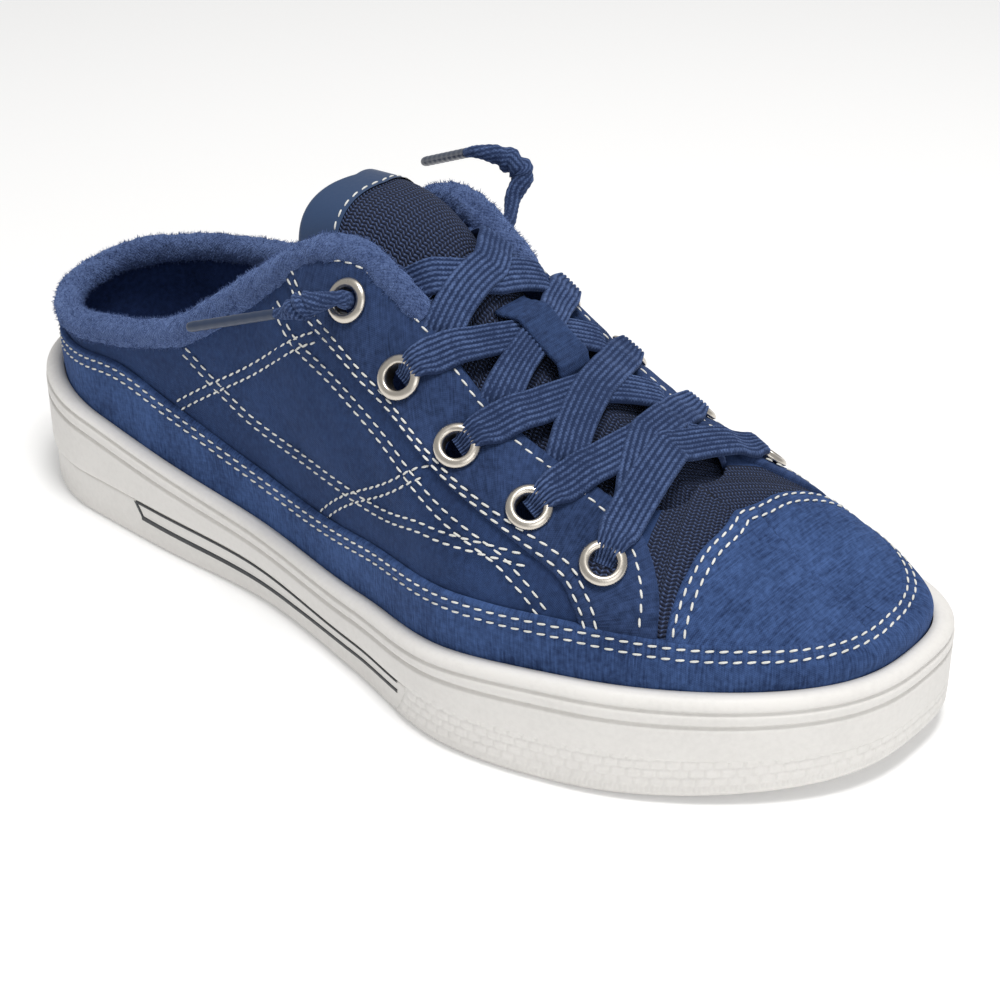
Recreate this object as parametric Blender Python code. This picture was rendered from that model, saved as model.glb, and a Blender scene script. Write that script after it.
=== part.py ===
"""Backless slip-on canvas sneaker for the right foot, standing empty on its sole.

Axes: +X towards the toe, +Y towards the inner (medial) side, +Z up, metres.
Every form is read from one last: a plan outline, a feather line where the upper meets
the sole, and a ridge over the foot, joined by one curved profile for each station.
"""
import math

import bmesh
import bpy
import numpy as np

for old in list(bpy.data.objects):
    bpy.data.objects.remove(old, do_unlink=True)

# Overall sizes of the last and the sole
LENGTH = 0.275
BALL_WIDTH = 0.0955
SOLE_HEIGHT = 0.036
INSTEP_HEIGHT = 0.112
HEEL_ROUND = 0.0387
TOE_ROUND = 0.069
TOE_SQUARENESS = 2.7
TOE_SPRING = 0.0046
HEEL_BEVEL = 0.0022
ARCH_RISE = 0.0018

# Walls, layers and the running gap between two pieces
GAP = 0.0003
WALL = 0.0018
OVERLAY = 0.0008
FEATHER_INSET = 0.0050
CUP_DEPTH = 0.0087
INSOLE_THICKNESS = 0.0045
BUMPER = 0.0012
LUG_DEPTH = 0.0025
LUG_PITCH = 0.0130
LUG_RIM = 0.009

# Collar roll, tongue, eyelets and laces
ROLL_DIAMETER = 0.008
ROLL_GAP = 0.0007
TONGUE_THICKNESS = 0.0035
TONGUE_PUFF = 0.0020
BINDING_THICKNESS = 0.0045
EYELET_DIAMETER = 0.011
EYELET_HOLE = 0.0062
EYELET_BARREL = 0.0074
EYELET_RISE = 0.0009
LACE_WIDTH = 0.0095
LACE_THICKNESS = 0.0016
KEEPER_WIDTH = 0.014
KEEPER_THICKNESS = 0.0012
LACE_END_DIAMETER = 0.0044
AGLET_DIAMETER = 0.0027
AGLET_LENGTH = 0.026

RIDGE_START = 0.164
RIDGE_END = 0.902

# share of LENGTH; centre, lateral half, medial half as shares of BALL_WIDTH
PLAN = (
    (0.00, 0.000, 0.361, 0.340),
    (0.12, -0.003, 0.373, 0.340),
    (0.25, -0.004, 0.386, 0.340),
    (0.40, -0.023, 0.370, 0.346),
    (0.55, -0.052, 0.422, 0.382),
    (0.68, -0.027, 0.529, 0.455),
    (0.80, 0.037, 0.524, 0.476),
    (1.00, 0.188, 0.429, 0.440),
)

# share of LENGTH; feather line, sole split, upper groove and lower groove depths,
# all as shares of SOLE_HEIGHT
SOLE = (
    (0.00, 1.000, 0.345, 0.045, 0.175),
    (0.12, 0.893, 0.345, 0.045, 0.155),
    (0.25, 0.750, 0.345, 0.045, 0.145),
    (0.36, 0.640, 0.320, 0.055, 0.140),
    (0.50, 0.583, 0.272, 0.060, 0.140),
    (0.60, 0.640, 0.286, 0.080, 0.160),
    (0.75, 0.772, 0.320, 0.090, 0.190),
    (1.00, 0.795, 0.330, 0.085, 0.180),
)

# share along the ridge; height as a share of INSTEP_HEIGHT, centre as a share of BALL_WIDTH
RIDGE = (
    (0.000, 0.821, 0.000),
    (0.222, 0.955, -0.005),
    (0.345, 1.000, -0.010),
    (0.478, 0.978, -0.014),
    (0.567, 0.862, -0.016),
    (0.655, 0.741, -0.010),
    (0.759, 0.638, 0.000),
    (0.862, 0.554, 0.015),
    (0.936, 0.482, 0.045),
    (1.000, 0.402, 0.084),
)

# station; rise of the wall as a share of its height, outward lean as a share of BALL_WIDTH,
# fullness of the shoulder on the lateral and medial sides as shares of the half width
FORM = (
    (0.00, 0.60, 0.031, 0.50, 0.50),
    (0.20, 0.68, 0.042, 0.67, 0.67),
    (0.40, 0.80, 0.047, 0.87, 0.87),
    (0.55, 0.78, 0.047, 0.90, 0.94),
    (0.70, 0.50, 0.031, 0.88, 0.72),
    (0.85, 0.42, 0.021, 0.78, 0.66),
    (1.00, 0.56, 0.031, 0.70, 0.70),
)

# station; share up the profile of the middle of the collar roll and of the facing edge,
# on the lateral and on the medial side
OPENING = (
    (0.000, 0.200, 0.200),
    (0.060, 0.188, 0.222),
    (0.160, 0.175, 0.237),
    (0.250, 0.195, 0.242),
    (0.315, 0.225, 0.252),
    (0.356, 0.262, 0.278),
    (0.397, 0.345, 0.345),
    (0.440, 0.490, 0.490),
    (0.457, 0.565, 0.565),
    (0.472, 0.620, 0.620),
    (0.493, 0.680, 0.680),
    (0.517, 0.715, 0.715),
    (0.556, 0.750, 0.750),
    (0.600, 0.765, 0.765),
    (0.690, 0.785, 0.785),
)
THROAT_ROUND = 0.700
THROAT_END = 0.762
ROLL_END = 0.548

# station; share up the profile of the top edge of the foxing band
FOXING = (
    (0.000, 0.105),
    (0.160, 0.115),
    (0.220, 0.125),
    (0.278, 0.135),
    (0.351, 0.102),
    (0.407, 0.078),
    (0.484, 0.072),
    (0.569, 0.117),
    (0.655, 0.197),
    (0.696, 0.246),
    (0.748, 0.288),
    (0.788, 0.320),
    (0.847, 0.401),
    (0.912, 0.500),
    (0.964, 0.560),
    (1.000, 0.575),
)

# station; lower and upper edge of the eyestay as shares up the profile
EYESTAY = (
    (0.456, 0.430, 0.480),
    (0.479, 0.405, 0.580),
    (0.500, 0.402, 0.650),
    (0.522, 0.404, 0.690),
    (0.567, 0.442, 0.742),
    (0.621, 0.470, 0.765),
    (0.670, 0.450, 0.780),
    (0.689, 0.425, 0.780),
    (0.702, 0.372, 0.778),
    (0.712, 0.300, 0.770),
    (0.737, 0.302, 0.725),
    (0.766, 0.318, 0.700),
)
EYESTAY_START = 0.456

# columns of the upper's grid: station at the foot, station at the top edge
COLUMNS = (
    (0.000, 0.000),
    (0.060, 0.060),
    (0.120, 0.120),
    (0.190, 0.190),
    (0.270, 0.270),
    (0.340, 0.340),
    (0.385, 0.385),
    (0.410, 0.410),
    (0.428, 0.428),
    (0.442, 0.442),
    (0.456, 0.456),
    (0.470, 0.470),
    (0.486, 0.486),
    (0.508, 0.508),
    (0.530, 0.530),
    (0.548, 0.548),
    (0.568, 0.568),
    (0.588, 0.588),
    (0.610, 0.610),
    (0.640, 0.640),
    (0.675, 0.675),
    (0.700, 0.700),
    (0.722, 0.712),
    (0.745, 0.724),
    (0.766, 0.737),
    (0.768, 0.752),
    (0.769, 0.762),
)
FRONT_COLUMN = 24
FOOT_ROWS = 3
CAP_SHARES = (0.0, 0.14, 0.30, 0.48, 0.66, 0.84, 1.0)
# share up the cap's side; station of the toe cap's edge
CAP_EDGE = (
    (0.00, 0.770),
    (0.25, 0.771),
    (0.50, 0.775),
    (0.72, 0.784),
    (0.90, 0.800),
    (1.00, 0.807),
)

# eyelet number, station, share up the profile
EYELETS = (
    (1, 0.505, 0.547),
    (2, 0.555, 0.547),
    (3, 0.605, 0.587),
    (4, 0.661, 0.593),
    (5, 0.718, 0.549),
)

# strap: side and eyelet at its first end, side and eyelet at its second end;
# an end is over the facing at its eyelet, or under the facing beside it
STRAPS = (
    ("lateral", 5, "over", "medial", 5, "over"),
    ("lateral", 5, "under", "medial", 4, "over"),
    ("medial", 5, "under", "lateral", 4, "over"),
    ("lateral", 4, "under", "medial", 3, "over"),
    ("medial", 4, "under", "lateral", 3, "over"),
    ("lateral", 3, "under", "medial", 2, "over"),
    ("medial", 3, "under", "lateral", 2, "over"),
    ("lateral", 2, "under", "medial", 1, "under"),
    ("medial", 2, "under", "lateral", 1, "under"),
)

UNDER_SHIFT = 0.010
STRAP_POINTS = (0.0, 0.10, 0.20, 0.34, 0.50, 0.66, 0.80, 0.90, 1.0)
KEEPER_SQUEEZE = 0.70
KEPT_EYELET = 2
LACE_LIFT = 0.0010

SIDES = {"lateral": 0, "medial": 1}
LATERAL, MEDIAL = 0, 1

# piece: colour, roughness, metallic
FINISHES = {
    "canvas": ((0.030, 0.075, 0.230), 0.85, 0.0),
    "fleece": ((0.055, 0.110, 0.300), 0.95, 0.0),
    "knit": ((0.015, 0.030, 0.090), 0.90, 0.0),
    "binding": ((0.018, 0.045, 0.110), 0.55, 0.0),
    "lace": ((0.060, 0.115, 0.290), 0.85, 0.0),
    "aglet": ((0.060, 0.085, 0.140), 0.35, 0.0),
    "lining": ((0.020, 0.045, 0.150), 0.90, 0.0),
    "metal": ((0.560, 0.500, 0.420), 0.30, 1.0),
    "rubber": ((0.780, 0.750, 0.700), 0.60, 0.0),
}


def curve(table, column, at):
    """Smooth curve through one column of a table, read at any first-column value."""
    xs = np.array([row[0] for row in table], float)
    ys = np.array([row[column] for row in table], float)
    at = np.asarray(at, float)
    step = np.diff(xs)
    rate = np.diff(ys) / step
    slope = np.empty_like(ys)
    slope[0] = rate[0]
    slope[-1] = rate[-1]
    slope[1:-1] = (rate[:-1] * step[1:] + rate[1:] * step[:-1]) / (step[1:] + step[:-1])
    i = np.clip(np.searchsorted(xs, at) - 1, 0, len(xs) - 2)
    t = np.clip((at - xs[i]) / step[i], 0.0, 1.0)
    near = ys[i] * (2 * t**3 - 3 * t**2 + 1) + slope[i] * step[i] * (t**3 - 2 * t**2 + t)
    far = ys[i + 1] * (3 * t**2 - 2 * t**3) + slope[i + 1] * step[i] * (t**3 - t**2)
    return near + far


def smooth_step(low, high, at):
    """0 below low, 1 above high, with level ends between."""
    t = np.clip((np.asarray(at, float) - low) / (high - low), 0.0, 1.0)
    return t * t * (3 - 2 * t)


def along(s):
    """Share of the length at a station: stations crowd towards the heel and the toe."""
    return (1 - np.cos(np.pi * np.asarray(s, float))) / 2


def plan(side, s, inset):
    """The outline seen from above, drawn in by inset, on one side."""
    x = inset + along(s) * (LENGTH - 2 * inset)
    share = x / LENGTH
    centre = curve(PLAN, 1, share) * BALL_WIDTH
    half = curve(PLAN, 2 + side, share) * BALL_WIDTH - inset
    heel = np.clip((HEEL_ROUND - (x - inset)) / HEEL_ROUND, 0, 1)
    toe = np.clip((x + inset - (LENGTH - TOE_ROUND)) / TOE_ROUND, 0, 1)
    round_off = np.sqrt(np.clip(1 - heel**2, 0, 1))
    round_off = round_off * np.clip(1 - toe**TOE_SQUARENESS, 0, 1) ** (1 / TOE_SQUARENESS)
    return x, centre + (2 * side - 1) * half * round_off


def sole_height(column, x):
    """A height from the sole's table at a distance from the heel."""
    return curve(SOLE, column, np.asarray(x) / LENGTH) * SOLE_HEIGHT


def feather(side, s):
    """The line where the upper meets the sole's top edge."""
    x, y = plan(side, s, FEATHER_INSET)
    return np.stack([x, y, sole_height(1, x)], -1)


def ridge(s):
    """The line over the middle of the foot, and its direction."""
    share = along(s)
    run = (RIDGE_END - RIDGE_START) * LENGTH
    point = np.stack([
        RIDGE_START * LENGTH + share * run,
        curve(RIDGE, 2, share) * BALL_WIDTH,
        curve(RIDGE, 1, share) * INSTEP_HEIGHT,
    ], -1)
    small = 0.005
    ahead = np.clip(share + small, 0, 1)
    behind = np.clip(share - small, 0, 1)
    slope = (curve(RIDGE, 1, ahead) - curve(RIDGE, 1, behind)) * INSTEP_HEIGHT
    return point, slope / ((ahead - behind) * run)


def profile(side, s, h):
    """The last's surface: a cubic curve from the feather line up to the ridge."""
    s, h = np.broadcast_arrays(np.asarray(s, float), np.asarray(h, float))
    foot = feather(side, s)
    top, slope = ridge(s)
    flat = foot - top
    flat[..., 2] = 0
    reach = np.linalg.norm(flat, axis=-1)
    out = flat / np.maximum(reach, 1e-9)[..., None]
    wall = foot + out * (curve(FORM, 2, s) * BALL_WIDTH)[..., None]
    wall[..., 2] += (top[..., 2] - foot[..., 2]) * curve(FORM, 1, s)
    full = reach * curve(FORM, 3 + side, s)
    shoulder = top + out * full[..., None]
    shoulder[..., 2] += slope * out[..., 0] * full
    h = h[..., None]
    low = foot * (1 - h) ** 3 + 3 * wall * h * (1 - h) ** 2
    return low + 3 * shoulder * h**2 * (1 - h) + top * h**3


def side_normal(side, s, h):
    """Outward normal of one side's surface from small steps along it."""
    small = 2e-3
    s0 = np.clip(s - small, 0, 1)
    s1 = np.clip(s + small, 0, 1)
    h0 = np.clip(h - small, 0, 1)
    h1 = np.clip(h + small, 0, 1)
    forward = profile(side, s1, h) - profile(side, s0, h)
    upward = profile(side, s, h1) - profile(side, s, h0)
    normal = np.cross(forward, upward) if side == LATERAL else np.cross(upward, forward)
    length = np.linalg.norm(normal, axis=-1, keepdims=True)
    return normal / np.maximum(length, 1e-12)


def normals(side, s, h):
    """Outward normals; on the ridge and at heel and toe the two sides share one."""
    s, h = np.broadcast_arrays(np.asarray(s, float), np.asarray(h, float))
    shared = (h > 1 - 1e-6) | (s < 1e-6) | (s > 1 - 1e-6)
    s = np.clip(s, 3e-3, 1 - 3e-3)
    h = np.clip(h, 0, 1 - 3e-3)
    own = side_normal(side, s, h)
    other = side_normal(1 - side, s, h)
    both = own + np.where(shared[..., None], other, 0)
    return both / np.linalg.norm(both, axis=-1, keepdims=True)


def skin(side, s, h, offset):
    """Points on the last's surface, moved outwards by offset."""
    return profile(side, s, h) + normals(side, s, h) * np.asarray(offset)[..., None]


BASE_OUT = -(OVERLAY + 1.6 * GAP)
BASE_IN = BASE_OUT - WALL


def opening(side, s):
    """Share up the profile where the wall ends at collar and throat; 1 where it is closed."""
    level = curve(OPENING, 1 + side, s)
    t = np.clip((np.asarray(s) - THROAT_ROUND) / (THROAT_END - THROAT_ROUND), 0, 1)
    closed = level + (1 - level) * (1 - np.sqrt(1 - t * t))
    return np.where(np.asarray(s) >= THROAT_END, 1.0, closed)


def climb(side, s, h):
    """Length of surface passed for one unit of h, to turn a distance into a share."""
    small = 2e-3
    low = profile(side, s, np.clip(h - small, 0, 1))
    high = profile(side, s, np.clip(h + small, 0, 1))
    span = np.clip(h + small, 0, 1) - np.clip(h - small, 0, 1)
    return np.linalg.norm(high - low, axis=-1) / span


def edge_below_roll(side):
    """The opening's line moved down the surface, square to itself, to clear the collar roll."""
    small = 1e-3
    s = np.linspace(0, THROAT_ROUND, 281)
    h = opening(side, s)
    along_s = (profile(side, np.clip(s + small, 0, 1), h) - profile(side, np.clip(s - small, 0, 1), h))
    along_s /= (np.clip(s + small, 0, 1) - np.clip(s - small, 0, 1))[:, None]
    along_h = (profile(side, s, h + small) - profile(side, s, h - small)) / (2 * small)
    tangent = np.gradient(profile(side, s, h), axis=0)
    down = np.cross(tangent, normals(side, s, h))
    down /= np.linalg.norm(down, axis=1, keepdims=True)
    down *= -np.sign((down * along_h).sum(1))[:, None]
    a, b, c = (along_s**2).sum(1), (along_s * along_h).sum(1), (along_h**2).sum(1)
    p, q = (along_s * down).sum(1), (along_h * down).sum(1)
    move = (ROLL_DIAMETER / 2 + ROLL_GAP) * (1 - smooth_step(ROLL_END, ROLL_END + 0.02, s))
    det = a * c - b * b
    s_new = s + move * (c * p - b * q) / det
    h_new = h + move * (a * q - b * p) / det
    s_new[0] = 0
    h_new[0] = h[0] - move[0] / climb(side, 0.0, h[0])
    return np.maximum.accumulate(np.clip(s_new, 0, 1)), h_new


EDGES = {}


def wall_top(side, s):
    """Where the wall's cut edge lies: under the collar roll, or at the facing edge."""
    if side not in EDGES:
        EDGES[side] = edge_below_roll(side)
    lowered = np.interp(s, *EDGES[side])
    return np.where(np.asarray(s) < THROAT_ROUND, lowered, opening(side, s))


def foxing_top(side, s):
    """Share up the profile of the foxing band's top edge, kept under the collar roll."""
    return np.minimum(curve(FOXING, 1, s), wall_top(side, s))


def shell(side):
    """Stations and shares up the profile of the grid that all layers of the upper share.

    Rows: the foot, the middle and top of the foxing band, then up to the top edge past
    both edges of the eyestay. The last columns follow the toe cap's curved edge.
    """
    foot = np.array([row[0] for row in COLUMNS])
    top = np.array([row[1] for row in COLUMNS])

    def share(column, at):
        at = np.maximum(at, EYESTAY_START)
        band, edge = foxing_top(LATERAL, at), wall_top(LATERAL, at)
        return (curve(EYESTAY, column, at) - band) / (edge - band)

    low = np.clip(share(1, foot), 0.02, 0.90)
    high = np.clip(share(2, top), low + 0.04, 0.95)
    rows = np.stack([low * 0, low / 2, low, (low + high) / 2, high, low * 0 + 1], 1)
    even = np.linspace(0, 1, rows.shape[1])
    last = FRONT_COLUMN
    for k in range(last + 1, len(foot)):
        rows[k] = rows[last] + (even - rows[last]) * (k - last) / (len(foot) - last)
    s = foot[:, None] + (top - foot)[:, None] * rows**1.5
    edge = curve(CAP_EDGE, 1, even)
    shares = np.array(CAP_SHARES)[:, None]
    s = np.concatenate([s, edge[None] + shares * (1 - edge[None])])
    rows = np.concatenate([rows, np.broadcast_to(even, (len(shares), len(even)))])
    band = foxing_top(side, s)
    h = band + (wall_top(side, s) - band) * rows
    below = np.stack([h[:, 0] * 0, h[:, 0] / 2], 1)
    return np.concatenate([s[:, :1], s[:, :1], s], 1), np.concatenate([below, h], 1)


def foot_stations():
    """Stations of the grid at the feather line, used by the sole and the insole too."""
    return shell(LATERAL)[0][:, 0]


def foot_line(side, s, offset):
    """The feather line moved level and square to itself, outwards by offset."""
    small = 2e-3
    line = feather(side, s)
    ahead = feather(side, np.clip(s + small, 0, 1))
    behind = feather(side, np.clip(s - small, 0, 1))
    way = (ahead - behind)[:, :2]
    out = np.stack([way[:, 1], -way[:, 0]], 1) * (1 if side == LATERAL else -1)
    out /= np.linalg.norm(out, axis=1, keepdims=True)
    out[s < 1e-6] = (-1, 0)
    out[s > 1 - 1e-6] = (1, 0)
    line[:, :2] += out * offset
    return line


def finish_material(name):
    """One Principled material for a finish, made once for each piece."""
    colour, roughness, metallic = FINISHES[name]
    material = bpy.data.materials.new(name)
    material.use_nodes = True
    shader = material.node_tree.nodes["Principled BSDF"]
    shader.inputs["Base Color"].default_value = (*colour, 1)
    shader.inputs["Roughness"].default_value = roughness
    shader.inputs["Metallic"].default_value = metallic
    material.diffuse_color = (*colour, 1)
    return material


def origin():
    """Middle of the sole's length and width at the floor, in the last's own coordinates."""
    s = np.linspace(0, 1, 801)
    low = plan(LATERAL, s, 0.0)[1].min()
    high = plan(MEDIAL, s, 0.0)[1].max()
    return np.array([LENGTH / 2, (low + high) / 2, 0.0])


ORIGIN = origin()


def add_object(name, mesh, finish):
    """Link a mesh as a named piece with its own material."""
    mesh.materials.append(finish_material(finish))
    piece = bpy.data.objects.new(name, mesh)
    bpy.context.scene.collection.objects.link(piece)
    return piece


def mesh_from(name, grids, sharp=0.7):
    """Join grids of points into one closed mesh: shared edges are welded together."""
    shape = bmesh.new()
    for grid in grids:
        rows, columns = grid.shape[:2]
        corner = [shape.verts.new(p) for p in (grid - ORIGIN).reshape(-1, 3)]
        for i in range(rows - 1):
            for j in range(columns - 1):
                a = i * columns + j
                shape.faces.new((corner[a], corner[a + 1], corner[a + columns + 1], corner[a + columns]))
    bmesh.ops.remove_doubles(shape, verts=shape.verts, dist=2e-6)
    bmesh.ops.dissolve_degenerate(shape, edges=shape.edges, dist=1e-7)
    bmesh.ops.recalc_face_normals(shape, faces=shape.faces)
    mesh = bpy.data.meshes.new(name)
    shape.to_mesh(mesh)
    shape.free()
    mesh.shade_smooth()
    mesh.set_sharp_from_angle(angle=sharp)
    return mesh


def loft(name, grids, finish):
    """A named piece from grids that close it."""
    return add_object(name, mesh_from(name, grids), finish)


def span(left, right, parts):
    """Grid across from the lateral line to the medial line, in equal parts."""
    t = np.linspace(0, 1, parts + 1)[None, :, None]
    return left[:, None, :] * (1 - t) + right[:, None, :] * t


def patch(side, s, h, outer, inner, rims="udlr"):
    """A curved plate: outer and inner faces over a grid of s and h, with its rims."""
    out = skin(side, s, h, np.broadcast_to(outer, s.shape))
    inn = skin(side, s, h, np.broadcast_to(inner, s.shape))
    grids = [out, inn]
    if "d" in rims:
        grids.append(np.stack([out[:, 0], inn[:, 0]], 1))
    if "u" in rims:
        grids.append(np.stack([out[:, -1], inn[:, -1]], 1))
    if "l" in rims:
        grids.append(np.stack([out[0], inn[0]], 1))
    if "r" in rims:
        grids.append(np.stack([out[-1], inn[-1]], 1))
    return grids


def tube_grid(path, normal, radius, sides):
    """A closed tube along a path, round it in equal sides, with flat ends."""
    tangent = np.gradient(path, axis=0)
    tangent /= np.linalg.norm(tangent, axis=1, keepdims=True)
    across = np.cross(tangent, normal)
    across /= np.linalg.norm(across, axis=1, keepdims=True)
    upright = np.cross(across, tangent)
    turn = np.linspace(0, 2 * np.pi, sides + 1)
    radius = np.broadcast_to(radius, len(path))[:, None, None]
    ring = across[:, None] * np.cos(turn)[None, :, None] + upright[:, None] * np.sin(turn)[None, :, None]
    wall = path[:, None] + ring * radius
    grids = [wall]
    for end in (0, -1):
        middle = np.broadcast_to(path[end], wall[end].shape)
        grids.append(np.stack([wall[end], middle], 0))
    return grids


def ribbon_grid(path, normal, width, thickness):
    """A closed flat band along a path: thickness along the normal, width across it."""
    tangent = np.gradient(path, axis=0)
    across = np.cross(tangent, normal)
    across /= np.linalg.norm(across, axis=1, keepdims=True)
    half = np.broadcast_to(width, len(path))[:, None] / 2
    lift = normal * thickness
    corners = [path - across * half, path + across * half]
    corners += [corners[1] + lift, corners[0] + lift]
    loop = np.stack(corners + corners[:1], 1)
    caps = [np.stack([loop[end][[0, 1]], loop[end][[3, 2]]], 0) for end in (0, -1)]
    return [loop] + caps


# The sole
def sole_loop(side, s, inset, height):
    """One line round the sole at an inset, at a height that may vary along it."""
    x, y = plan(side, s, inset)
    z = height(x, side) if callable(height) else np.full_like(x, height)
    return np.stack([x, y, z], -1)


def ground(x, side):
    """The sole's underside at its edge: flat at heel and ball, with arch and toe spring."""
    share = x / LENGTH
    spring = TOE_SPRING * np.clip((share - 0.74) / 0.26, 0, 1) ** 2
    bevel = HEEL_BEVEL * np.clip((0.07 - share) / 0.07, 0, 1) ** 2
    arch = ARCH_RISE * smooth_step(0.30, 0.42, share) * (1 - smooth_step(0.48, 0.60, share))
    return spring + bevel + arch * (0.35 if side == LATERAL else 1.0)


BUMPER_START = 0.575
BUMPER_SLANT = 0.018


def bumper_recess(s, height_share):
    """Step behind the toe bumper; it starts further forward nearer the top."""
    start = BUMPER_START + BUMPER_SLANT * height_share
    return (BUMPER + GAP) * smooth_step(start - 0.0055, start - 0.0015, s)


def sole_stations(height_share=None):
    """Stations of the sole; a line on its side follows the slanted start of the bumper."""
    s = foot_stations()
    if height_share is None:
        return s
    start = BUMPER_START + BUMPER_SLANT * height_share
    marks = start + np.array([-0.0060, -0.0035, -0.0012])
    return np.concatenate([s[s < 0.56], marks, s[s > 0.62]])


def split(x, side):
    """Height of the seam between the outsole and the midsole."""
    return sole_height(2, x)


def midsole():
    """Upper part of the sole: a cup with a rounded lip and two grooves round its side."""
    def top(drop_column, share=1.0, down=0.0):
        def height(x, side):
            drop = sole_height(drop_column, x) if drop_column else 0
            return sole_height(1, x) - drop * share - down
        return height

    lip = FEATHER_INSET - 2 * GAP
    rows = [
        (0.0005, lambda x, side: split(x, side) + GAP, 0.4),
        (0.0, top(4, 1.0, 0.0012), 1.0),
        (0.0009, top(4, 1.0, 0.0004), None),
        (0.0, top(4, 1.0, -0.0004), None),
        (0.0, top(3, 1.0, 0.0010), None),
        (0.0009, top(3, 1.0, 0.0003), None),
        (0.0003, top(3, 1.0, -0.0004), None),
        (0.0018, top(3, 0.30), None),
        (lip, top(None), None),
        (lip, top(None, 1.0, CUP_DEPTH), None),
    ]
    grids = []
    for side in (LATERAL, MEDIAL):
        lines = []
        for inset, height, share in rows:
            s = sole_stations(share)
            behind = 0.0 if share is None else bumper_recess(s, share)
            lines.append(recessed(side, s, inset + behind, height))
        grids.append(np.stack(lines, 1))
    floor = span(grids[0][:, -1], grids[1][:, -1], 1)
    under = span(grids[0][:, 0], grids[1][:, 0], 1)
    return loft("midsole", grids + [floor, under], "rubber")


def recessed(side, s, inset, height):
    """A sole line whose inset changes along it."""
    points = np.stack([sole_loop(side, s[i:i + 1], float(v), height)[0]
                       for i, v in enumerate(np.broadcast_to(inset, s.shape))])
    return points


def outsole():
    """Lower part of the sole: tucked side, flat heel and ball, grooved underside."""
    rows = [
        (0.0012, lambda x, side: split(x, side), 0.4),
        (0.0007, lambda x, side: split(x, side) - 0.0010, 0.4),
        (0.0007, lambda x, side: np.maximum(split(x, side) * 0.55, ground(x, side) + 0.0019), 0.2),
        (0.0007, lambda x, side: ground(x, side) + 0.0018, 0.0),
        (0.0022, ground, 0.0),
    ]
    grids = []
    for side in (LATERAL, MEDIAL):
        lines = []
        for inset, height, share in rows:
            s = sole_stations(share)
            lines.append(recessed(side, s, inset + bumper_recess(s, share), height))
        grids.append(np.stack(lines, 1))
    top = span(grids[0][:, 0], grids[1][:, 0], 1)
    under = span(grids[0][:, -1], grids[1][:, -1], 3)
    piece = loft("outsole", grids + [top, under], "rubber")
    shape_with(piece, guide_group("tread_guides", tread_cutters()), "DIFFERENCE")
    return piece


def box_mesh(name, low, high, skew):
    """A box with its far side moved forward by skew, as one groove of the tread."""
    grid = []
    for x in (low[0], high[0]):
        grid.append([(x, low[1], low[2]), (x + skew, high[1], low[2]),
                     (x + skew, high[1], high[2]), (x, low[1], high[2]), (x, low[1], low[2])])
    walls = np.array(grid)
    caps = [np.stack([walls[k][[0, 1]], walls[k][[3, 2]]], 0) for k in (0, 1)]
    return mesh_from(name, [walls] + caps)


def tread_cutters():
    """Slanted bars that cut the grooves under the heel and the ball."""
    cutters = []
    groups = ((0.09, 0.30), (0.60, 0.90))
    for low_share, high_share in groups:
        count = int((high_share - low_share) * LENGTH / LUG_PITCH)
        for k in range(count):
            x = low_share * LENGTH + (k + 0.5) * LUG_PITCH
            s = math.acos(1 - 2 * x / LENGTH) / math.pi
            near = plan(LATERAL, np.array([s]), LUG_RIM)[1][0]
            far = plan(MEDIAL, np.array([s]), LUG_RIM)[1][0]
            base = float(ground(np.array([x]), LATERAL)[0])
            name = f"tread_cutter_{len(cutters) + 1}"
            mesh = box_mesh(name, (x, near, base - 0.004),
                            (x + LUG_PITCH * 0.32, far, base + LUG_DEPTH), LUG_PITCH * 0.5)
            cutters.append(bpy.data.objects.new(name, mesh))
    return cutters


def guide_group(name, guides):
    """A collection of guide objects that shape other pieces and are not pieces themselves."""
    group = bpy.data.collections.new(name)
    bpy.context.scene.collection.children.link(group)
    for guide in guides:
        group.objects.link(guide)
        guide.hide_render = True
        guide.display_type = "WIRE"
    return group


def shape_with(piece, group, operation):
    """Boolean of a piece with all guides of a group."""
    step = piece.modifiers.new("shape", "BOOLEAN")
    step.operation = operation
    step.solver = "EXACT"
    step.operand_type = "COLLECTION"
    step.collection = group


def toe_bumper():
    """Foxing strip round the toe, set in the sole's recess, with slanted ends."""
    base = foot_stations()
    base = base[base > 0.62]
    levels = (0.0, 0.12, 1.0)
    grids = []
    for side in (LATERAL, MEDIAL):
        outer, inner = [], []
        for share in levels:
            start = BUMPER_START + BUMPER_SLANT * share
            s = np.concatenate([[start, start + 0.004], base])
            edge = 0.0006 if share in (0.0, 1.0) else 0.0

            def height(x, side, share=share):
                low = ground(x, side) + 0.0022
                high = sole_height(1, x) - sole_height(4, x) - 0.0015
                return low + (high - low) * share
            outer.append(sole_loop(side, s, edge, height))
            inner.append(sole_loop(side, s, BUMPER, height))
        out = np.stack(outer, 1)
        inn = np.stack(inner, 1)
        grids += [out, inn, np.stack([out[:, 0], inn[:, 0]], 1), np.stack([out[:, -1], inn[:, -1]], 1),
                  np.stack([out[0], inn[0]], 1)]
    return loft("toe_bumper", grids, "rubber")


def insole():
    """Footbed: a soft slab with rounded edges inside the upper, on the cup's floor."""
    edge = BASE_IN - 2 * GAP
    base = CUP_DEPTH - GAP
    rows = [
        (edge - 0.0002, base),
        (edge, base - INSOLE_THICKNESS + 0.0012),
        (edge - 0.0020, base - INSOLE_THICKNESS),
    ]
    s = foot_stations()
    grids = []
    for side in (LATERAL, MEDIAL):
        lines = []
        for offset, drop in rows:
            line = foot_line(side, s, offset)
            line[:, 2] = sole_height(1, line[:, 0]) - drop
            lines.append(line)
        grids.append(np.stack(lines, 1))
    top = span(grids[0][:, -1], grids[1][:, -1], 2)
    under = span(grids[0][:, 0], grids[1][:, 0], 1)
    return loft("insole", grids + [top, under], "lining")


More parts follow.
